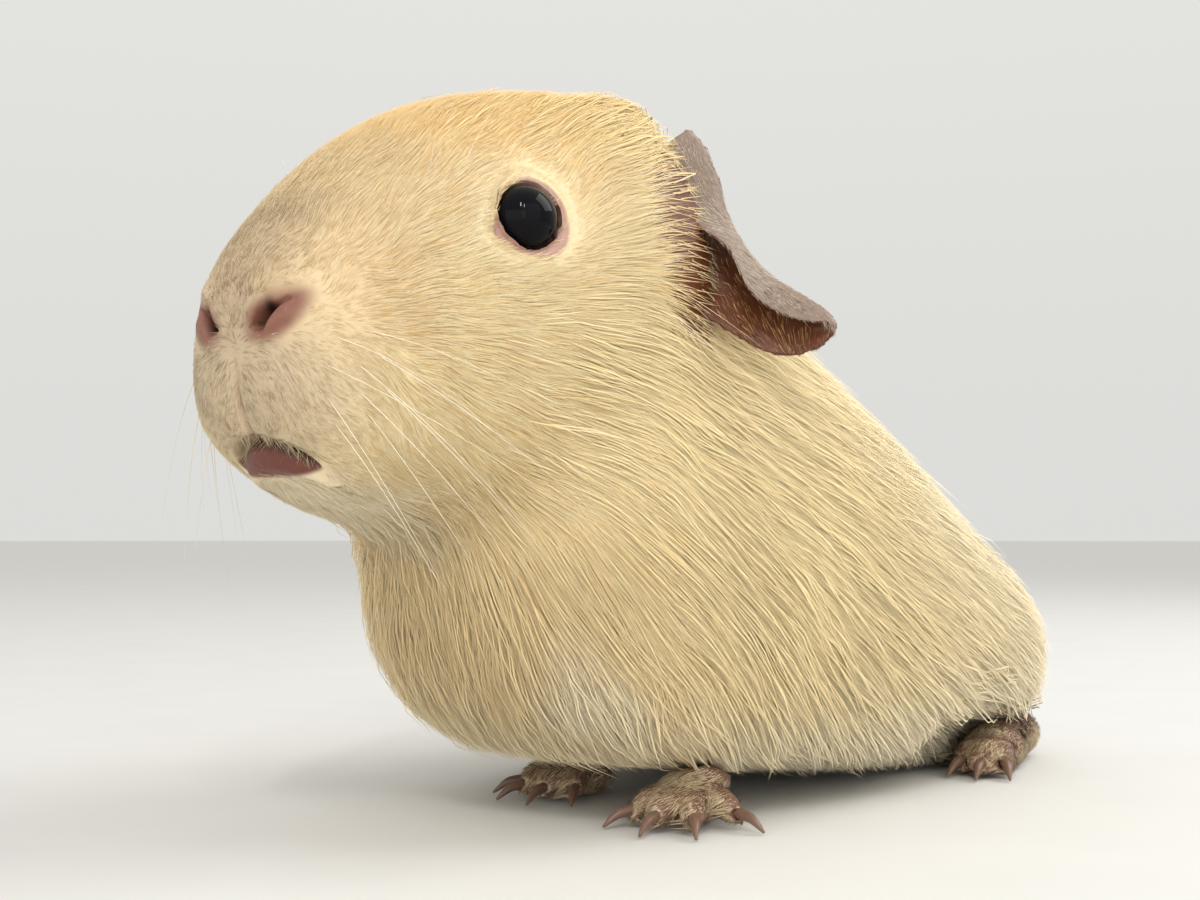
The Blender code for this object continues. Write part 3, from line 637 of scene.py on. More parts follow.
def draw_together(places, tips, cell, amount, rng):
    """Pull tips towards the tip of their lock."""
    spot = places + rng.normal(scale=0.22, size=places.shape) * cell[:, None]
    key = np.floor(spot / cell[:, None]).astype(np.int64)
    code = key[:, 0] * 73856093 ^ key[:, 1] * 19349663 ^ key[:, 2] * 83492791
    _, lock = np.unique(code, return_inverse=True)
    count = np.bincount(lock).astype(float)
    mean_tip = np.stack([np.bincount(lock, tips[:, k]) / count for k in range(3)], axis=1)
    pull = amount * (0.4 + 0.9 * rng.random(len(count)))[lock]
    drawn = tips * (1 - pull[:, None]) + mean_tip[lock] * pull[:, None]
    length = np.linalg.norm(tips - places, axis=1, keepdims=True)
    return places + unit(drawn - places) * length, lock


SIDE_TILT = 0.35                    # how far a tuft's sides shade away from the skin's normal
BAKE_PATCH = 0.003                  # size of a tuft's patch on the OFBake map


def tuft_mesh(name, root, middle, tip, normal, width, shade, uv):
    """Closed three-sided spikes, bent once when a middle is given."""
    count = len(root)
    along = unit(tip - root)
    across = unit(np.cross(along, normal))
    up = np.cross(across, along)
    half = (width / 2)[:, None]
    rise = (width * 0.45)[:, None]
    rings = [(root, 1.0, 0.0)]
    if middle is not None:
        rings.append((middle, 0.85, 0.55))
    places, share = [], []
    for centre, size, t in rings:
        places += [centre - across * half * size, centre + across * half * size, centre + up * rise * size]
        share += [(0.0, t), (1.0, t), (0.5, t)]
    places.append(tip)
    share.append((0.5, 1.0))
    per = len(places)
    points = np.stack(places, axis=1).reshape(-1, 3) * MM
    last = per - 1
    if middle is None:
        shape = [(0, last, 1), (1, last, 2), (2, last, 0), (0, 1, 2)]
    else:
        shape = [(0, 4, 1), (0, 3, 4), (1, 5, 2), (1, 4, 5), (2, 3, 0), (2, 5, 3),
                 (3, last, 4), (4, last, 5), (5, last, 3), (0, 1, 2)]
    shape = np.array(shape)
    corners = (shape[None] + (np.arange(count) * per)[:, None, None]).reshape(-1)
    mesh = bpy.data.meshes.new(name)
    mesh.vertices.add(len(points))
    mesh.vertices.foreach_set("co", points.astype(np.float32).ravel())
    mesh.loops.add(len(corners))
    mesh.loops.foreach_set("vertex_index", corners.astype(np.int32))
    faces = len(corners) // 3
    mesh.polygons.add(faces)
    mesh.polygons.foreach_set("loop_start", np.arange(0, faces * 3, 3, dtype=np.int32))
    mesh.update(calc_edges=True)
    mesh.polygons.foreach_set("use_smooth", np.ones(faces, bool))
    soft = [unit(normal - SIDE_TILT * across), unit(normal + SIDE_TILT * across), normal] * len(rings)
    soft.append(unit(normal + 0.25 * along))
    soft = np.stack(soft, axis=1).reshape(-1, 3)
    mesh.normals_split_custom_set_from_vertices(soft.astype(np.float32))
    share = np.array(share)
    patch = (share - 0.5) * BAKE_PATCH
    place = uv[:, None, :] + patch[None]
    layer = mesh.uv_layers.new(name="OFBake")
    layer.uv.foreach_set("vector", place.reshape(-1, 2)[corners].astype(np.float32).ravel())
    write_layer(mesh, "shade", np.repeat(shade, per))
    write_layer(mesh, "rise", np.tile(share[:, 1], count))
    return link(name, mesh)


COAT_SEED = 12
FACE_DENSITY = 10.0                 # tufts for each square millimetre
TRUNK_DENSITY = 7.2
EAR_DENSITY = 7.0
FOOT_DENSITY = 12.0
FOOT_LIFT, EAR_LIFT = 0.8, 0.4      # how far the tips of short hair stand off the skin
LIFT_MEAN, LIFT_SPREAD = 0.64, 0.15     # height of a tip as a share of the coat's depth
LOWEST_TIP, LOWEST_ROOT, LOWEST_BEND = 0.15, 0.4, 0.3   # levels over the floor
SUNK_MOST = 3.5                     # ear and foot hair less far under the body's skin is left out
LID_CLEAR = 0.8                     # rim round the eye that no hair crosses
LOCK_SHARE = 0.07                   # of the trunk's tufts that are long and bent
LOCK_LONGER, LOCK_HIGHER = 1.45, 1.25
TUFT_WIDTH, WIDER_BY_LENGTH = 0.13, 0.004


def long_share(points, zone):
    """How far a place carries the trunk's coat rather than the face's."""
    return step(hair_length(points, to_head(points), zone), 5.0, 9.5) * (zone == ZONE_BODY)


def coat_density(points, zone):
    """Tufts for each square millimetre of skin."""
    share = long_share(points, zone)
    density = FACE_DENSITY * (1 - share) + TRUNK_DENSITY * share
    density = density * (1 - 0.75 * ear_root(to_head(points)) * step(to_head(points)[:, 2], 24, 16))
    density = density * (1 - 0.3 * step(points[:, 2], 14, 4) * step(points[:, 1], -40, -10))
    density = np.where(zone == ZONE_FOOT, FOOT_DENSITY, density)
    return np.where(zone == ZONE_EAR, EAR_DENSITY, density)


BANDS = (("muzzle", -61.0), ("cheek", -44.0), ("neck", -26.0), ("shoulder", -4.0), ("flank", 20.0),
         ("side", 46.0), ("haunch", math.inf))     # each band of the coat and where it ends along Y


def over_eye(places):
    """Which places lie over the opening of an eye or its bare rim."""
    over = np.zeros(len(places), bool)
    for name, sign in SIDES:
        local, off, turn = seen_by_eye(places, name, sign)
        over |= (local[:, 2] > 0) & (off < lid_opening(turn) + LID_CLEAR)
    return over


def grow_coat(skin, settings):
    """All tufts of the coat, as pieces by region."""
    rng = np.random.default_rng(COAT_SEED)
    found = sample_skin(skin.data, lambda p, z: coat_density(p, z) * settings.fullness, rng)
    on_body = found["zone"] == ZONE_BODY
    thinned = np.where(on_body, found["bare"] ** 1.5 * 1.05 + 0.8 * found["hollow"], 0.72 * found["hollow"])
    keep = (rng.random(len(found["at"])) > thinned) & (found["at"][:, 2] > LOWEST_ROOT)
    layer = read_layer(skin.data, "zone")
    trees = {kind: surface_tree(skin.data, layer == kind) for kind in (ZONE_BODY, ZONE_EAR, ZONE_FOOT)}
    fine = np.nonzero(~on_body)[0]
    below, out = nearest_on(trees[ZONE_BODY], found["at"][fine])
    away = found["at"][fine] - below
    gap = np.linalg.norm(away, axis=1)
    keep[fine] &= (np.sum(away * out, axis=1) > -0.45 * gap) | (gap > SUNK_MOST)
    found = {key: values[keep] for key, values in found.items()}
    on_body = on_body[keep]
    at, normal, zone = found["at"], found["normal"], found["zone"]
    count = len(at)
    head = to_head(at)
    locks = rng.random(count) < LOCK_SHARE * long_share(at, zone)
    length = hair_length(at, head, zone) * settings.length * rng.normal(1.0, 0.18, count).clip(0.5, 1.5)
    length = length * np.where(locks, LOCK_LONGER, 1.0) * (1 + 0.8 * found["hollow"] * ~on_body)
    lie = lie_of_coat(at, normal, head, zone)
    depth = coat_depth(at, head) * settings.depth
    spot, spot_normal = np.empty_like(at), np.empty_like(at)
    for kind, tree in trees.items():
        own = zone == kind
        spot[own], spot_normal[own] = nearest_on(tree, (at + lie * length[:, None])[own])
    height = np.where(zone == ZONE_BODY, depth, np.where(zone == ZONE_FOOT, FOOT_LIFT, EAR_LIFT))
    height = height * rng.normal(LIFT_MEAN, LIFT_SPREAD, count).clip(0.15, 1.25)
    tufted = ear_root(head) * (zone == ZONE_BODY) * (0.5 + 1.7 * rng.random(count))
    tufted *= 1 + 0.15 * step(head[:, 2], 20, 27)
    height = height * np.where(locks, LOCK_HIGHER, 1.0) + tufted
    tip = spot + spot_normal * height[:, None]
    cell = np.clip(0.5 + 0.17 * length, 0.7, 2.4)
    tip, lock = draw_together(at, tip, cell, settings.clumping, rng)
    tip[:, 2] = np.maximum(tip[:, 2], LOWEST_TIP)
    shade = rng.normal(0, 0.55, count) + rng.normal(0, 0.35, lock.max() + 1)[lock]
    shade *= 2.1 - 1.55 * long_share(at, zone)
    bend = np.linalg.norm(normal - spot_normal, axis=1) * length / 8
    middle = (at + tip) / 2 + unit(normal + spot_normal) * (bend + 0.25 * height + 0.1)[:, None]
    middle[:, 2] = np.maximum(middle[:, 2], LOWEST_BEND)
    sunk = 0.15 - 0.4 * height * long_share(at, zone) * rng.random(count)
    root = at - normal * sunk[:, None]
    width = (TUFT_WIDTH + WIDER_BY_LENGTH * length) * rng.uniform(0.65, 1.3, count)
    body = (zone == ZONE_BODY) & ~over_eye(tip)
    left = at[:, 0] > NOSE[0]
    # ear tufts in the hollows take the darker fuzz, partly painted shade
    inside = found["hollow"] > 0.5
    regions = {
        "coat_ears": ((zone == ZONE_EAR) & ~inside, False),
        "coat_ear_inside_and_shade": ((zone == ZONE_EAR) & inside, False),
        "coat_feet": (zone == ZONE_FOOT, False),
    }
    for side, own in (("left", left), ("right", ~left)):
        regions["coat_locks_" + side] = (body & own & locks, True)
        start = -math.inf
        for band, end in BANDS:
            here = (at[:, 1] >= start) & (at[:, 1] < end)
            regions["coat_" + band + "_" + side] = (body & own & ~locks & here, False)
            start = end
    return [tuft_mesh(name, root[own], middle[own] if bent else None, tip[own], normal[own],
                      width[own], shade[own], found["uv"][own])
            for name, (own, bent) in regions.items()]


# ------------------------------------------------------------------- materials
def add(tree, kind, **settings):
    """One node with its settings."""
    node = tree.nodes.new(kind)
    for name, value in settings.items():
        setattr(node, name, value)
    return node


def feed(tree, socket, value):
    """Link an input to a socket, or set it to a number, a vector or a colour."""
    if isinstance(value, bpy.types.NodeSocket):
        tree.links.new(value, socket)
    elif socket.type == "RGBA":
        socket.default_value = (*value, 1.0)
    else:
        socket.default_value = value


def maths(tree, operation, *values, clamp=False):
    """A Math node; the values are sockets or numbers."""
    node = add(tree, "ShaderNodeMath", operation=operation, use_clamp=clamp)
    for socket, value in zip(node.inputs, values):
        feed(tree, socket, value)
    return node.outputs[0]


def vector_maths(tree, operation, *values):
    """A Vector Math node; the values are sockets or vectors."""
    node = add(tree, "ShaderNodeVectorMath", operation=operation)
    for socket, value in zip(node.inputs, values):
        feed(tree, socket, value)
    return node.outputs["Value" if operation == "LENGTH" else "Vector"]


def mix_paint(tree, factor, under, over, blend="MIX"):
    """A colour Mix; under and over are sockets or colours."""
    node = add(tree, "ShaderNodeMix", data_type="RGBA", blend_type=blend)
    for index, value in ((0, factor), (6, under), (7, over)):
        feed(tree, node.inputs[index], value)
    return node.outputs[2]


def noise(tree, where, scale, detail=2.0):
    """Fine noise over a piece."""
    node = add(tree, "ShaderNodeTexNoise")
    node.inputs["Scale"].default_value = scale
    node.inputs["Detail"].default_value = detail
    tree.links.new(where, node.inputs["Vector"])
    return node


def soft_range(tree, value, low, high, at_low=0.0, at_high=1.0):
    """A Map Range node with soft ends."""
    node = add(tree, "ShaderNodeMapRange", interpolation_type="SMOOTHSTEP")
    for name, given in (("Value", value), ("From Min", low), ("From Max", high),
                        ("To Min", at_low), ("To Max", at_high)):
        feed(tree, node.inputs[name], given)
    return node.outputs["Result"]


def new_group(name, kind, inputs, outputs):
    """A node group with its named sockets, its input and its output."""
    group = bpy.data.node_groups.new(name, kind)
    for way, rows in (("INPUT", inputs), ("OUTPUT", outputs)):
        for label, socket in rows:
            group.interface.new_socket(label, in_out=way, socket_type="NodeSocket" + socket)
    return group, add(group, "NodeGroupInput"), add(group, "NodeGroupOutput")


def soft_spot_group():
    """A soft-edged ellipsoid of paint: one inside, zero outside."""
    group, inside, out = new_group(
        "soft_spot", "ShaderNodeTree",
        (("Position", "Vector"), ("Middle", "Vector"), ("Reach", "Vector"), ("Edge", "Float")),
        (("Mask", "Float"),))
    position, middle, reach, edge = inside.outputs[:4]
    scaled = vector_maths(group, "DIVIDE", vector_maths(group, "SUBTRACT", position, middle), reach)
    low = maths(group, "SUBTRACT", 1.0, edge)
    high = maths(group, "ADD", 1.0, edge)
    mask = soft_range(group, vector_maths(group, "LENGTH", scaled), low, high, 1.0, 0.0)
    group.links.new(mask, out.inputs["Mask"])
    return group


EDGE_WANDER = 0.012                 # how far the edges of the markings wander


def coat_markings_group(coat, spot):
    """The colours of the coat by place, for hair and skin alike."""
    group, inside, out = new_group(
        "coat_markings", "ShaderNodeTree", (("Position", "Vector"),), (("Color", "Color"),))
    position = inside.outputs["Position"]
    uneven = noise(group, position, 90.0, 3.0)
    shift = vector_maths(group, "MULTIPLY_ADD", uneven.outputs["Color"], (EDGE_WANDER,) * 3, position)
    level = vector_maths(group, "SUBTRACT", shift, (EDGE_WANDER / 2,) * 3)
    colour = mix_paint(group, uneven.outputs["Fac"], list(coat.cheek), [c * 0.92 for c in coat.cheek])

    crown, pale, muzzle = (list(c) for c in (coat.crown, coat.pale, coat.muzzle))
    on_head = (                     # side, back, up from the nose tip
        ((0, 46, 34), (0.024, 0.040, 0.022), 0.5, crown, 0.9),
        ((0, 7, 8), (0.011, 0.014, 0.011), 0.55, muzzle, 0.9),
        ((0, 1, 1), (0.006, 0.006, 0.005), 0.5, srgb(150, 118, 90), 0.8),
        ((0, 4, -9), (0.014, 0.014, 0.012), 0.45, srgb(172, 152, 126), 0.85),
        ((0, 10, -28), (0.014, 0.018, 0.0075), 0.5, pale, 0.8),
        ((14, 11, 3), (0.008, 0.010, 0.009), 0.6, srgb(222, 188, 136), 0.7),
        ((-14, 11, 3), (0.008, 0.010, 0.009), 0.6, srgb(222, 188, 136), 0.7),
        ((10, 17, 18), (0.012, 0.014, 0.010), 0.6, srgb(226, 198, 150), 0.5),
        ((-10, 17, 18), (0.012, 0.014, 0.010), 0.6, srgb(226, 198, 150), 0.5))
    marks = [(from_head(middle) * MM, *rest) for middle, *rest in on_head]
    marks += [(EYE_AT[side] * MM, (0.0092, 0.0092, 0.0092), 0.5, pale, 0.12) for side, _ in SIDES]
    marks += [                      # along X, Y and Z
        # painted shade: darker cream on the throat and chest under the head
        ((0.0032, -0.045, 0.026), (0.040, 0.022, 0.020), 0.6, srgb(240, 212, 162), 0.6),
        ((0.006, 0.03, 0.0), (0.060, 0.09, 0.018), 0.6, pale, 0.8),
        ((0.006, 0.065, 0.05), (0.060, 0.045, 0.060), 0.6, pale, 0.55),
        ((0.026, -0.048, 0.013), (0.007, 0.012, 0.013), 0.7, pale, 0.6)]
    for middle, reach, edge, paint, strength in marks:
        node = add(group, "ShaderNodeGroup", node_tree=spot)
        for socket, value in zip(node.inputs, (level, tuple(middle), reach, edge)):
            feed(group, socket, value)
        colour = mix_paint(group, maths(group, "MULTIPLY", node.outputs["Mask"], strength), colour, paint)
    group.links.new(colour, out.inputs["Color"])
    return group


def new_paint(name, roughness):
    """A material with its Principled shader and an Object position."""
    paint = bpy.data.materials.new(name)
    paint.use_nodes = True
    tree = paint.node_tree
    shader = tree.nodes["Principled BSDF"]
    shader.inputs["Roughness"].default_value = roughness
    where = add(tree, "ShaderNodeTexCoord").outputs["Object"]
    return paint, tree, shader, where


def grained_paint(name, roughness, scale, low, high, detail=2.0):
    """A material of two colours mixed by fine noise."""
    paint, tree, shader, where = new_paint(name, roughness)
    grain = noise(tree, where, scale, detail).outputs["Fac"]
    tree.links.new(mix_paint(tree, grain, low, high), shader.inputs["Base Color"])
    return paint, shader


def attribute(tree, name):
    """A named value carried by the piece."""
    return add(tree, "ShaderNodeAttribute", attribute_name=name).outputs["Fac"]


def hair_paint(markings):
    """Coat hair: markings, painted shade darkening each tuft towards its root, each tuft a little different.
    """
    paint, tree, shader, where = new_paint("coat_hair", 0.6)
    marks = add(tree, "ShaderNodeGroup", node_tree=markings)
    tree.links.new(where, marks.inputs["Position"])
    rise = attribute(tree, "rise")
    shade = attribute(tree, "shade")
    # painted shade: the colour darkens towards the root, deep in the coat
    root_shade = mix_paint(tree, 1.0, marks.outputs["Color"], srgb(214, 190, 152), "MULTIPLY")
    fade = maths(tree, "POWER", maths(tree, "SUBTRACT", 1.0, rise, clamp=True), 1.6, clamp=True)
    colour = mix_paint(tree, maths(tree, "MULTIPLY", fade, 0.38), marks.outputs["Color"], root_shade)
    light = maths(tree, "MULTIPLY", shade, 0.5, clamp=True)
    dark = maths(tree, "MULTIPLY", shade, -0.5, clamp=True)
    colour = mix_paint(tree, maths(tree, "MULTIPLY", light, 0.38), colour, srgb(255, 244, 214))
    shadow = mix_paint(tree, 1.0, colour, srgb(212, 176, 128), "MULTIPLY")
    colour = mix_paint(tree, maths(tree, "MULTIPLY", dark, 0.6), colour, shadow)
    tree.links.new(colour, shader.inputs["Base Color"])
    shader.inputs["Specular IOR Level"].default_value = 0.25
    shader.inputs["Sheen Weight"].default_value = 0.2
    shader.inputs["Sheen Tint"].default_value = (1.0, 0.93, 0.8, 1.0)
    return paint


def fuzz_paint(name, low, high):
    """Short hair of one ear or foot colour."""
    paint, tree, shader, _ = new_paint(name, 0.6)
    colour = mix_paint(tree, maths(tree, "MULTIPLY_ADD", attribute(tree, "shade"), 0.35), low, high)
    tree.links.new(colour, shader.inputs["Base Color"])
    return paint


def skin_paint(markings, skin):
    """Skin: markings under the coat, bare pink-brown where it shows, painted shade in the nostrils, the
    mouth's slit, the ear hollows and before each ear's root.
    """
    paint, tree, shader, where = new_paint("skin", 0.5)
    marks = add(tree, "ShaderNodeGroup", node_tree=markings)
    tree.links.new(where, marks.inputs["Position"])
    under = mix_paint(tree, 0.5, marks.outputs["Color"], srgb(206, 184, 152))
    grain = noise(tree, where, 900.0, 4.0).outputs["Fac"]

    def mottled(colour, spread=0.22):
        low = [c * (1 - spread) for c in colour]
        high = [min(1.0, c * (1 + spread)) for c in colour]
        return mix_paint(tree, grain, low, high)

    # painted shade before each ear's root
    colour = mix_paint(tree, attribute(tree, "hollow"), under, mottled(skin.ear_inside_and_shade, 0.4))
    colour = mix_paint(tree, attribute(tree, "bare"), colour, mottled(skin.bare))
    colour = mix_paint(tree, attribute(tree, "lid"), colour, mottled(skin.lid))
    colour = mix_paint(tree, attribute(tree, "lip"), colour, mottled(skin.lip, 0.35))
    zone = attribute(tree, "zone")
    # inside of the ears: own colour darkened with painted shade
    inside = mottled(skin.ear_inside_and_shade, 0.4)
    ear_paint = mix_paint(tree, attribute(tree, "hollow"), mottled(skin.ear_back), inside)
    colour = mix_paint(tree, maths(tree, "GREATER_THAN", zone, 0.5), colour, ear_paint)
    colour = mix_paint(tree, maths(tree, "GREATER_THAN", zone, 1.5), colour, mottled(skin.foot, 0.35))
    # painted shade: near-black in the nostril holes and the mouth's slit
    colour = mix_paint(tree, attribute(tree, "deep"), colour, srgb(38, 10, 8))
    tree.links.new(colour, shader.inputs["Base Color"])
    bump = add(tree, "ShaderNodeBump")
    bump.inputs["Strength"].default_value = 0.5
    bump.inputs["Distance"].default_value = 0.0002
    tree.links.new(grain, bump.inputs["Height"])
    tree.links.new(bump.outputs["Normal"], shader.inputs["Normal"])
    return paint


def dress(piece, paint, *nodes, slot="coat"):
    """Material, body and replaced nodes of a finished piece; its slot is not used."""
    piece.data.materials.clear()
    piece.data.materials.append(paint)
    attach(piece, "root")
    if nodes:
        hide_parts(*nodes)
    return piece


# ------------------------------------------------------------------- operators
class GUINEAPIG_OT_skin(bpy.types.Operator):
    """Make the one skin with its folds, lids, nostrils and mouth."""
    bl_idname = "guineapig.skin"
    bl_label = "Skin"

    def execute(self, context):
        scene = context.scene
        skin = make_skin(scene.guineapig_coat)
        markings = coat_markings_group(scene.guineapig_coat, soft_spot_group())
        dress(skin, skin_paint(markings, scene.guineapig_skin), *FLESH, *FINE_FLESH)
        return {"FINISHED"}


class GUINEAPIG_OT_coat(bpy.types.Operator):
    """Grow the tufts of the coat over the skin."""
    bl_idname = "guineapig.coat"
    bl_label = "Coat"

    def execute(self, context):
        hair = hair_paint(bpy.data.node_groups["coat_markings"])
        ear = fuzz_paint("ear_fuzz", srgb(156, 136, 122), srgb(204, 188, 168))
        # fuzz in the ear hollows: own colour darkened with painted shade
        inside = fuzz_paint("ear_inside_and_shade_fuzz", srgb(120, 76, 40), srgb(206, 160, 100))
        foot = fuzz_paint("foot_fuzz", srgb(176, 146, 108), srgb(236, 216, 180))
        for piece in grow_coat(bpy.data.objects["skin"], context.scene.guineapig_coat):
            paint = {"coat_ears": ear, "coat_ear_inside_and_shade": inside, "coat_feet": foot}.get(piece.name, hair)
            dress(piece, paint)
        return {"FINISHED"}


class GUINEAPIG_OT_eyes(bpy.types.Operator):
    """Make the two dark wet eyes."""
    bl_idname = "guineapig.eyes"
    bl_label = "Eyes"

    def execute(self, context):
        paint, shader = grained_paint("eye", 0.03, 500.0, (0.0015, 0.002, 0.004), (0.004, 0.003, 0.004))
        shader.inputs["Specular IOR Level"].default_value = 0.11
        for side, _ in SIDES:
            mesh = bpy.data.meshes.new("eyeball_" + side)
            work = bmesh.new()
            bmesh.ops.create_uvsphere(work, u_segments=64, v_segments=40, radius=EYE_RADIUS * MM)
            bmesh.ops.translate(work, vec=Vector(EYE_AT[side] * MM), verts=work.verts)
            work.to_mesh(mesh)
            work.free()
            mesh.shade_smooth()
            dress(link("eyeball_" + side, mesh), paint, "eye_" + side, slot="eye")
        return {"FINISHED"}


class GUINEAPIG_OT_claws(bpy.types.Operator):
    """Smooth horn claws on every toe."""
    bl_idname = "guineapig.claws"
    bl_label = "Claws"

    def execute(self, context):
        dark, light = ([c * share for c in context.scene.guineapig_skin.claw] for share in (0.7, 1.15))
        paint, _ = grained_paint("claw", 0.32, 700.0, dark, light, 3.0)
        for side, _ in SIDES:
            for kind in ("foreclaw_", "hindclaw_"):
                nodes = sorted(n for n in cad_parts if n.startswith(kind + side))
                piece = welded(nodes, "horn_" + kind + side)
                finer = piece.modifiers.new("finer", "SUBSURF")
                finer.levels = finer.render_levels = 2
                apply_stack(piece)
                piece.data.shade_smooth()
                dress(piece, paint, *nodes, slot="claw")
        return {"FINISHED"}


WHISKER_SEED = 5
WHISKER_SIDES = 5
WHISKER_STEPS = 14
WHISKER_ROWS = (                    # up and back of the first root, number, longest
    (-4.0, 8.0, 2, 30.0), (-7.5, 7.0, 3, 38.0), (-11.0, 7.0, 3, 34.0), (-13.5, 8.0, 2, 24.0))
LONE_WHISKERS = (                   # root and aim in the head's frame, length
    ((21.0, 30.0, -6.0), (0.55, 0.8, -0.25), 22.0), ((17.0, 29.0, 22.0), (0.35, 0.3, 0.9), 11.0),
    ((24.0, 56.0, 4.0), (0.5, 0.8, -0.5), 20.0), ((24.0, 55.0, 0.5), (0.5, 0.85, -0.6), 24.0),
    ((15.0, 24.0, 20.0), (0.3, -0.1, 1.0), 9.0))


def whisker_paths(skin, rng):
    """Roots, aims and lengths of all whiskers, in the world."""
    places, aims, lengths = [], [], []
    for _, sign in SIDES:
        for up, back, count, longest in WHISKER_ROWS:
            for k in range(count):
                places.append((sign * (10.0 + 1.1 * k), back + 2.3 * k, up + 0.5 * k + rng.normal(0, 0.3)))
                out = sign * (0.75 + rng.normal(0, 0.12))
                behind = 0.35 + 0.14 * k + rng.normal(0, 0.1)
                aims.append((out, behind, -0.55 + 0.075 * (up + 7) + rng.normal(0, 0.16)))
                lengths.append(longest * rng.uniform(0.7, 1.0))
        for (side, back, up), (out, behind, rise), length in LONE_WHISKERS:
            places.append((sign * side, back, up))
            aims.append((sign * out, behind, rise))
            lengths.append(length)
    roots, _ = nearest_on(surface_tree(skin.data), from_head(places))
    return roots, turn_from_head(aims), np.array(lengths)


def whisker_tree(paint):
    """Geometry Nodes that give every curve a thin round body."""
    tree, start, finish = new_group(
        "whisker_body", "GeometryNodeTree",
        (("Geometry", "Geometry"), ("Root diameter", "Float"), ("Sides", "Int")), (("Geometry", "Geometry"),))
    ring = add(tree, "GeometryNodeCurvePrimitiveCircle")
    tree.links.new(start.outputs["Sides"], ring.inputs["Resolution"])
    tree.links.new(maths(tree, "MULTIPLY", start.outputs["Root diameter"], 0.5), ring.inputs["Radius"])
    body = add(tree, "GeometryNodeCurveToMesh")
    body.inputs["Fill Caps"].default_value = True
    tree.links.new(start.outputs["Geometry"], body.inputs["Curve"])
    tree.links.new(ring.outputs["Curve"], body.inputs["Profile Curve"])
    if "Scale" in body.inputs:
        radius = add(tree, "GeometryNodeInputRadius")
        tree.links.new(radius.outputs[0], body.inputs["Scale"])
    plain = add(tree, "GeometryNodeRealizeInstances")
    dressed = add(tree, "GeometryNodeSetMaterial")
    dressed.inputs["Material"].default_value = paint
    tree.links.new(body.outputs["Mesh"], plain.inputs[0])
    tree.links.new(plain.outputs[0], dressed.inputs["Geometry"])
    tree.links.new(dressed.outputs[0], finish.inputs[0])
    return tree, {item.name: item.identifier for item in tree.interface.items_tree}


class GUINEAPIG_OT_whiskers(bpy.types.Operator):
    """Pale whiskers on the muzzle, brow and cheek."""
    bl_idname = "guineapig.whiskers"
    bl_label = "Whiskers"

    def execute(self, context):
        rng = np.random.default_rng(WHISKER_SEED)
        roots, aims, lengths = whisker_paths(bpy.data.objects["skin"], rng)
        lines = bpy.data.curves.new("whisker_lines", "CURVE")
        lines.dimensions = "3D"
        for root, aim, length in zip(roots, aims, lengths):
            sag = rng.uniform(0.12, 0.32) * length
            spline = lines.splines.new("POLY")
            spline.points.add(WHISKER_STEPS)
            for k in range(WHISKER_STEPS + 1):
                t = k / WHISKER_STEPS
                place = root + aim * (length * t - 0.8) + np.array([0, 0.35 * sag, -sag]) * t * t
                place[2] = max(place[2], 1.0)
                spline.points[k].co = (*(place * MM), 1.0)
                spline.points[k].radius = 1.0 - 0.85 * t
        curve = bpy.data.objects.new("whisker_lines", lines)
        context.scene.collection.objects.link(curve)
        paint, _ = grained_paint("whisker", 0.35, 300.0, srgb(226, 206, 168), srgb(252, 246, 230))
        tree, inputs = whisker_tree(paint)
        grow = curve.modifiers.new("grow", "NODES")
        grow.node_group = tree
        grow[inputs["Root diameter"]] = context.scene.guineapig_skin.whisker
        grow[inputs["Sides"]] = WHISKER_SIDES
        graph = context.evaluated_depsgraph_get()
        mesh = bpy.data.meshes.new_from_object(curve.evaluated_get(graph))
        bpy.data.objects.remove(curve, do_unlink=True)
        mesh.shade_smooth()
        dress(link("whiskers", mesh), paint)
        return {"FINISHED"}


CAMERA_AT = (0.1608, -0.2063, 0.0420)
CAMERA_TURN = (93.4, 0.0, 39.5)
CAMERA_LENS = 45.0
LAMPS_AIM = (0.0, -0.03, 0.05)
FLOOR_SIZE = 60.0
LAMPS = (                           # name, place, width, height, power, colour
    ("key", (0.40, -0.55, 0.65), 0.035, 0.19, 1.35, (1.0, 0.97, 0.92)),
    ("strip", (0.52, -0.47, 0.58), 0.028, 0.15, 0.6, (1.0, 0.98, 0.95)),
    ("window", (0.85, -0.30, 0.35), 1.0, 1.0, 1.95, (0.88, 0.94, 1.0)),
    ("low", (0.30, -0.80, 0.12), 1.0, 0.6, 1.7, (1.0, 0.97, 0.93)),
    ("back", (0.45, 0.50, 0.70), 0.6, 0.6, 3.9, (1.0, 0.98, 0.95)))


def studio_world():
    """A pale room, a little darker towards the horizon."""
    world = bpy.data.worlds.new("studio")
    world.use_nodes = True
    tree = world.node_tree
    around = add(tree, "ShaderNodeTexCoord").outputs["Generated"]
    split = add(tree, "ShaderNodeSeparateXYZ")
    tree.links.new(around, split.inputs[0])
    rise = soft_range(tree, split.outputs["Z"], -0.02, 0.8)
    colour = mix_paint(tree, rise, (0.72, 0.72, 0.70), (0.86, 0.85, 0.825))
    tree.links.new(colour, tree.nodes["Background"].inputs["Color"])
    return world


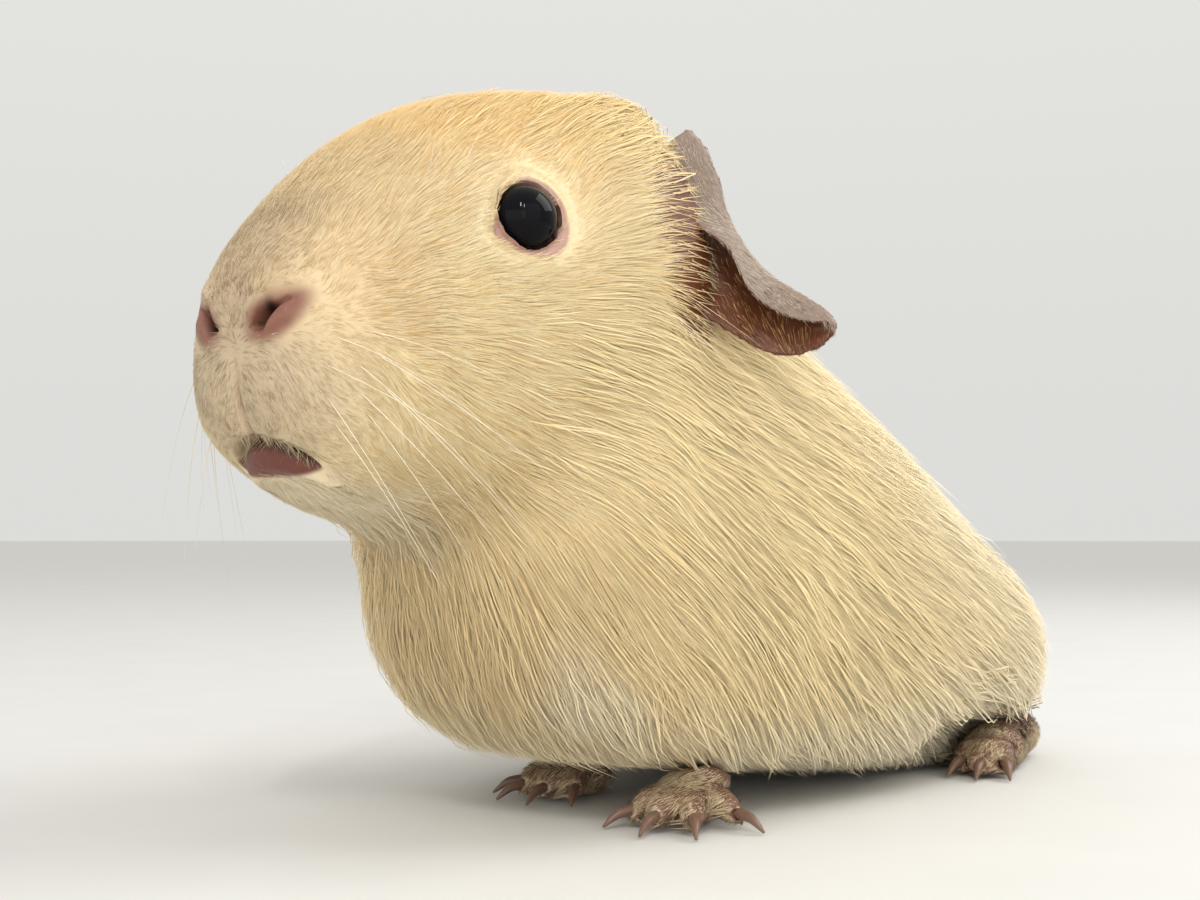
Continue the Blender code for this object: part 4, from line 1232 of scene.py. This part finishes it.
class GUINEAPIG_OT_stage(bpy.types.Operator):
    """Pale floor, soft lights and the camera."""
    bl_idname = "guineapig.stage"
    bl_label = "Stage"

    def execute(self, context):
        scene = context.scene
        bpy.ops.mesh.primitive_plane_add(size=FLOOR_SIZE, location=(0, 0, -0.0001))
        floor = context.object
        floor.name = "floor"
        paint, _ = grained_paint("floor", 0.8, 40.0, (0.68, 0.68, 0.66), (0.73, 0.725, 0.705))
        floor.data.materials.append(paint)
        scene.world = studio_world()
        scene.view_settings.view_transform = "Standard"
        for name, place, width, height, power, colour in LAMPS:
            lamp = bpy.data.lights.new(name, "AREA")
            lamp.shape = "RECTANGLE"
            lamp.size = width
            lamp.size_y = height
            lamp.energy = power
            lamp.color = colour
            light = bpy.data.objects.new(name, lamp)
            light.location = place
            aim = Vector(LAMPS_AIM) - Vector(place)
            light.rotation_euler = aim.to_track_quat("-Z", "Y").to_euler()
            scene.collection.objects.link(light)
        lens = bpy.data.cameras.new("camera")
        lens.lens = CAMERA_LENS
        lens.sensor_width = 36.0
        lens.clip_start = 0.01
        camera = bpy.data.objects.new("camera", lens)
        camera.location = CAMERA_AT
        camera.rotation_euler = [math.radians(a) for a in CAMERA_TURN]
        scene.collection.objects.link(camera)
        scene.camera = camera
        return {"FINISHED"}


class GUINEAPIG_PT_panel(bpy.types.Panel):
    """Settings and steps of the guinea pig's finish."""
    bl_label = "Guinea pig"
    bl_idname = "GUINEAPIG_PT_panel"
    bl_space_type = "VIEW_3D"
    bl_region_type = "UI"
    bl_category = "Guinea pig"

    def draw(self, context):
        for group in (context.scene.guineapig_coat, context.scene.guineapig_skin):
            for name in group.bl_rna.properties.keys():
                if name not in ("rna_type", "name"):
                    self.layout.prop(group, name)
        for step_class in STEPS:
            self.layout.operator(step_class.bl_idname)


STEPS = (GUINEAPIG_OT_skin, GUINEAPIG_OT_coat, GUINEAPIG_OT_eyes, GUINEAPIG_OT_claws,
         GUINEAPIG_OT_whiskers, GUINEAPIG_OT_stage)
CLASSES = (GuineaPigCoat, GuineaPigSkin, *STEPS, GUINEAPIG_PT_panel)


def register():
    """Add the classes and their settings."""
    for one in CLASSES:
        bpy.utils.register_class(one)
    bpy.types.Scene.guineapig_coat = bpy.props.PointerProperty(type=GuineaPigCoat)
    bpy.types.Scene.guineapig_skin = bpy.props.PointerProperty(type=GuineaPigSkin)


def unregister():
    """Take the classes away again."""
    del bpy.types.Scene.guineapig_skin
    del bpy.types.Scene.guineapig_coat
    for one in reversed(CLASSES):
        bpy.utils.unregister_class(one)


def main():
    """Run every step."""
    register()
    bpy.ops.guineapig.skin()
    bpy.ops.guineapig.coat()
    bpy.ops.guineapig.eyes()
    bpy.ops.guineapig.claws()
    bpy.ops.guineapig.whiskers()
    bpy.ops.guineapig.stage()


if __name__ == "__main__":
    main()
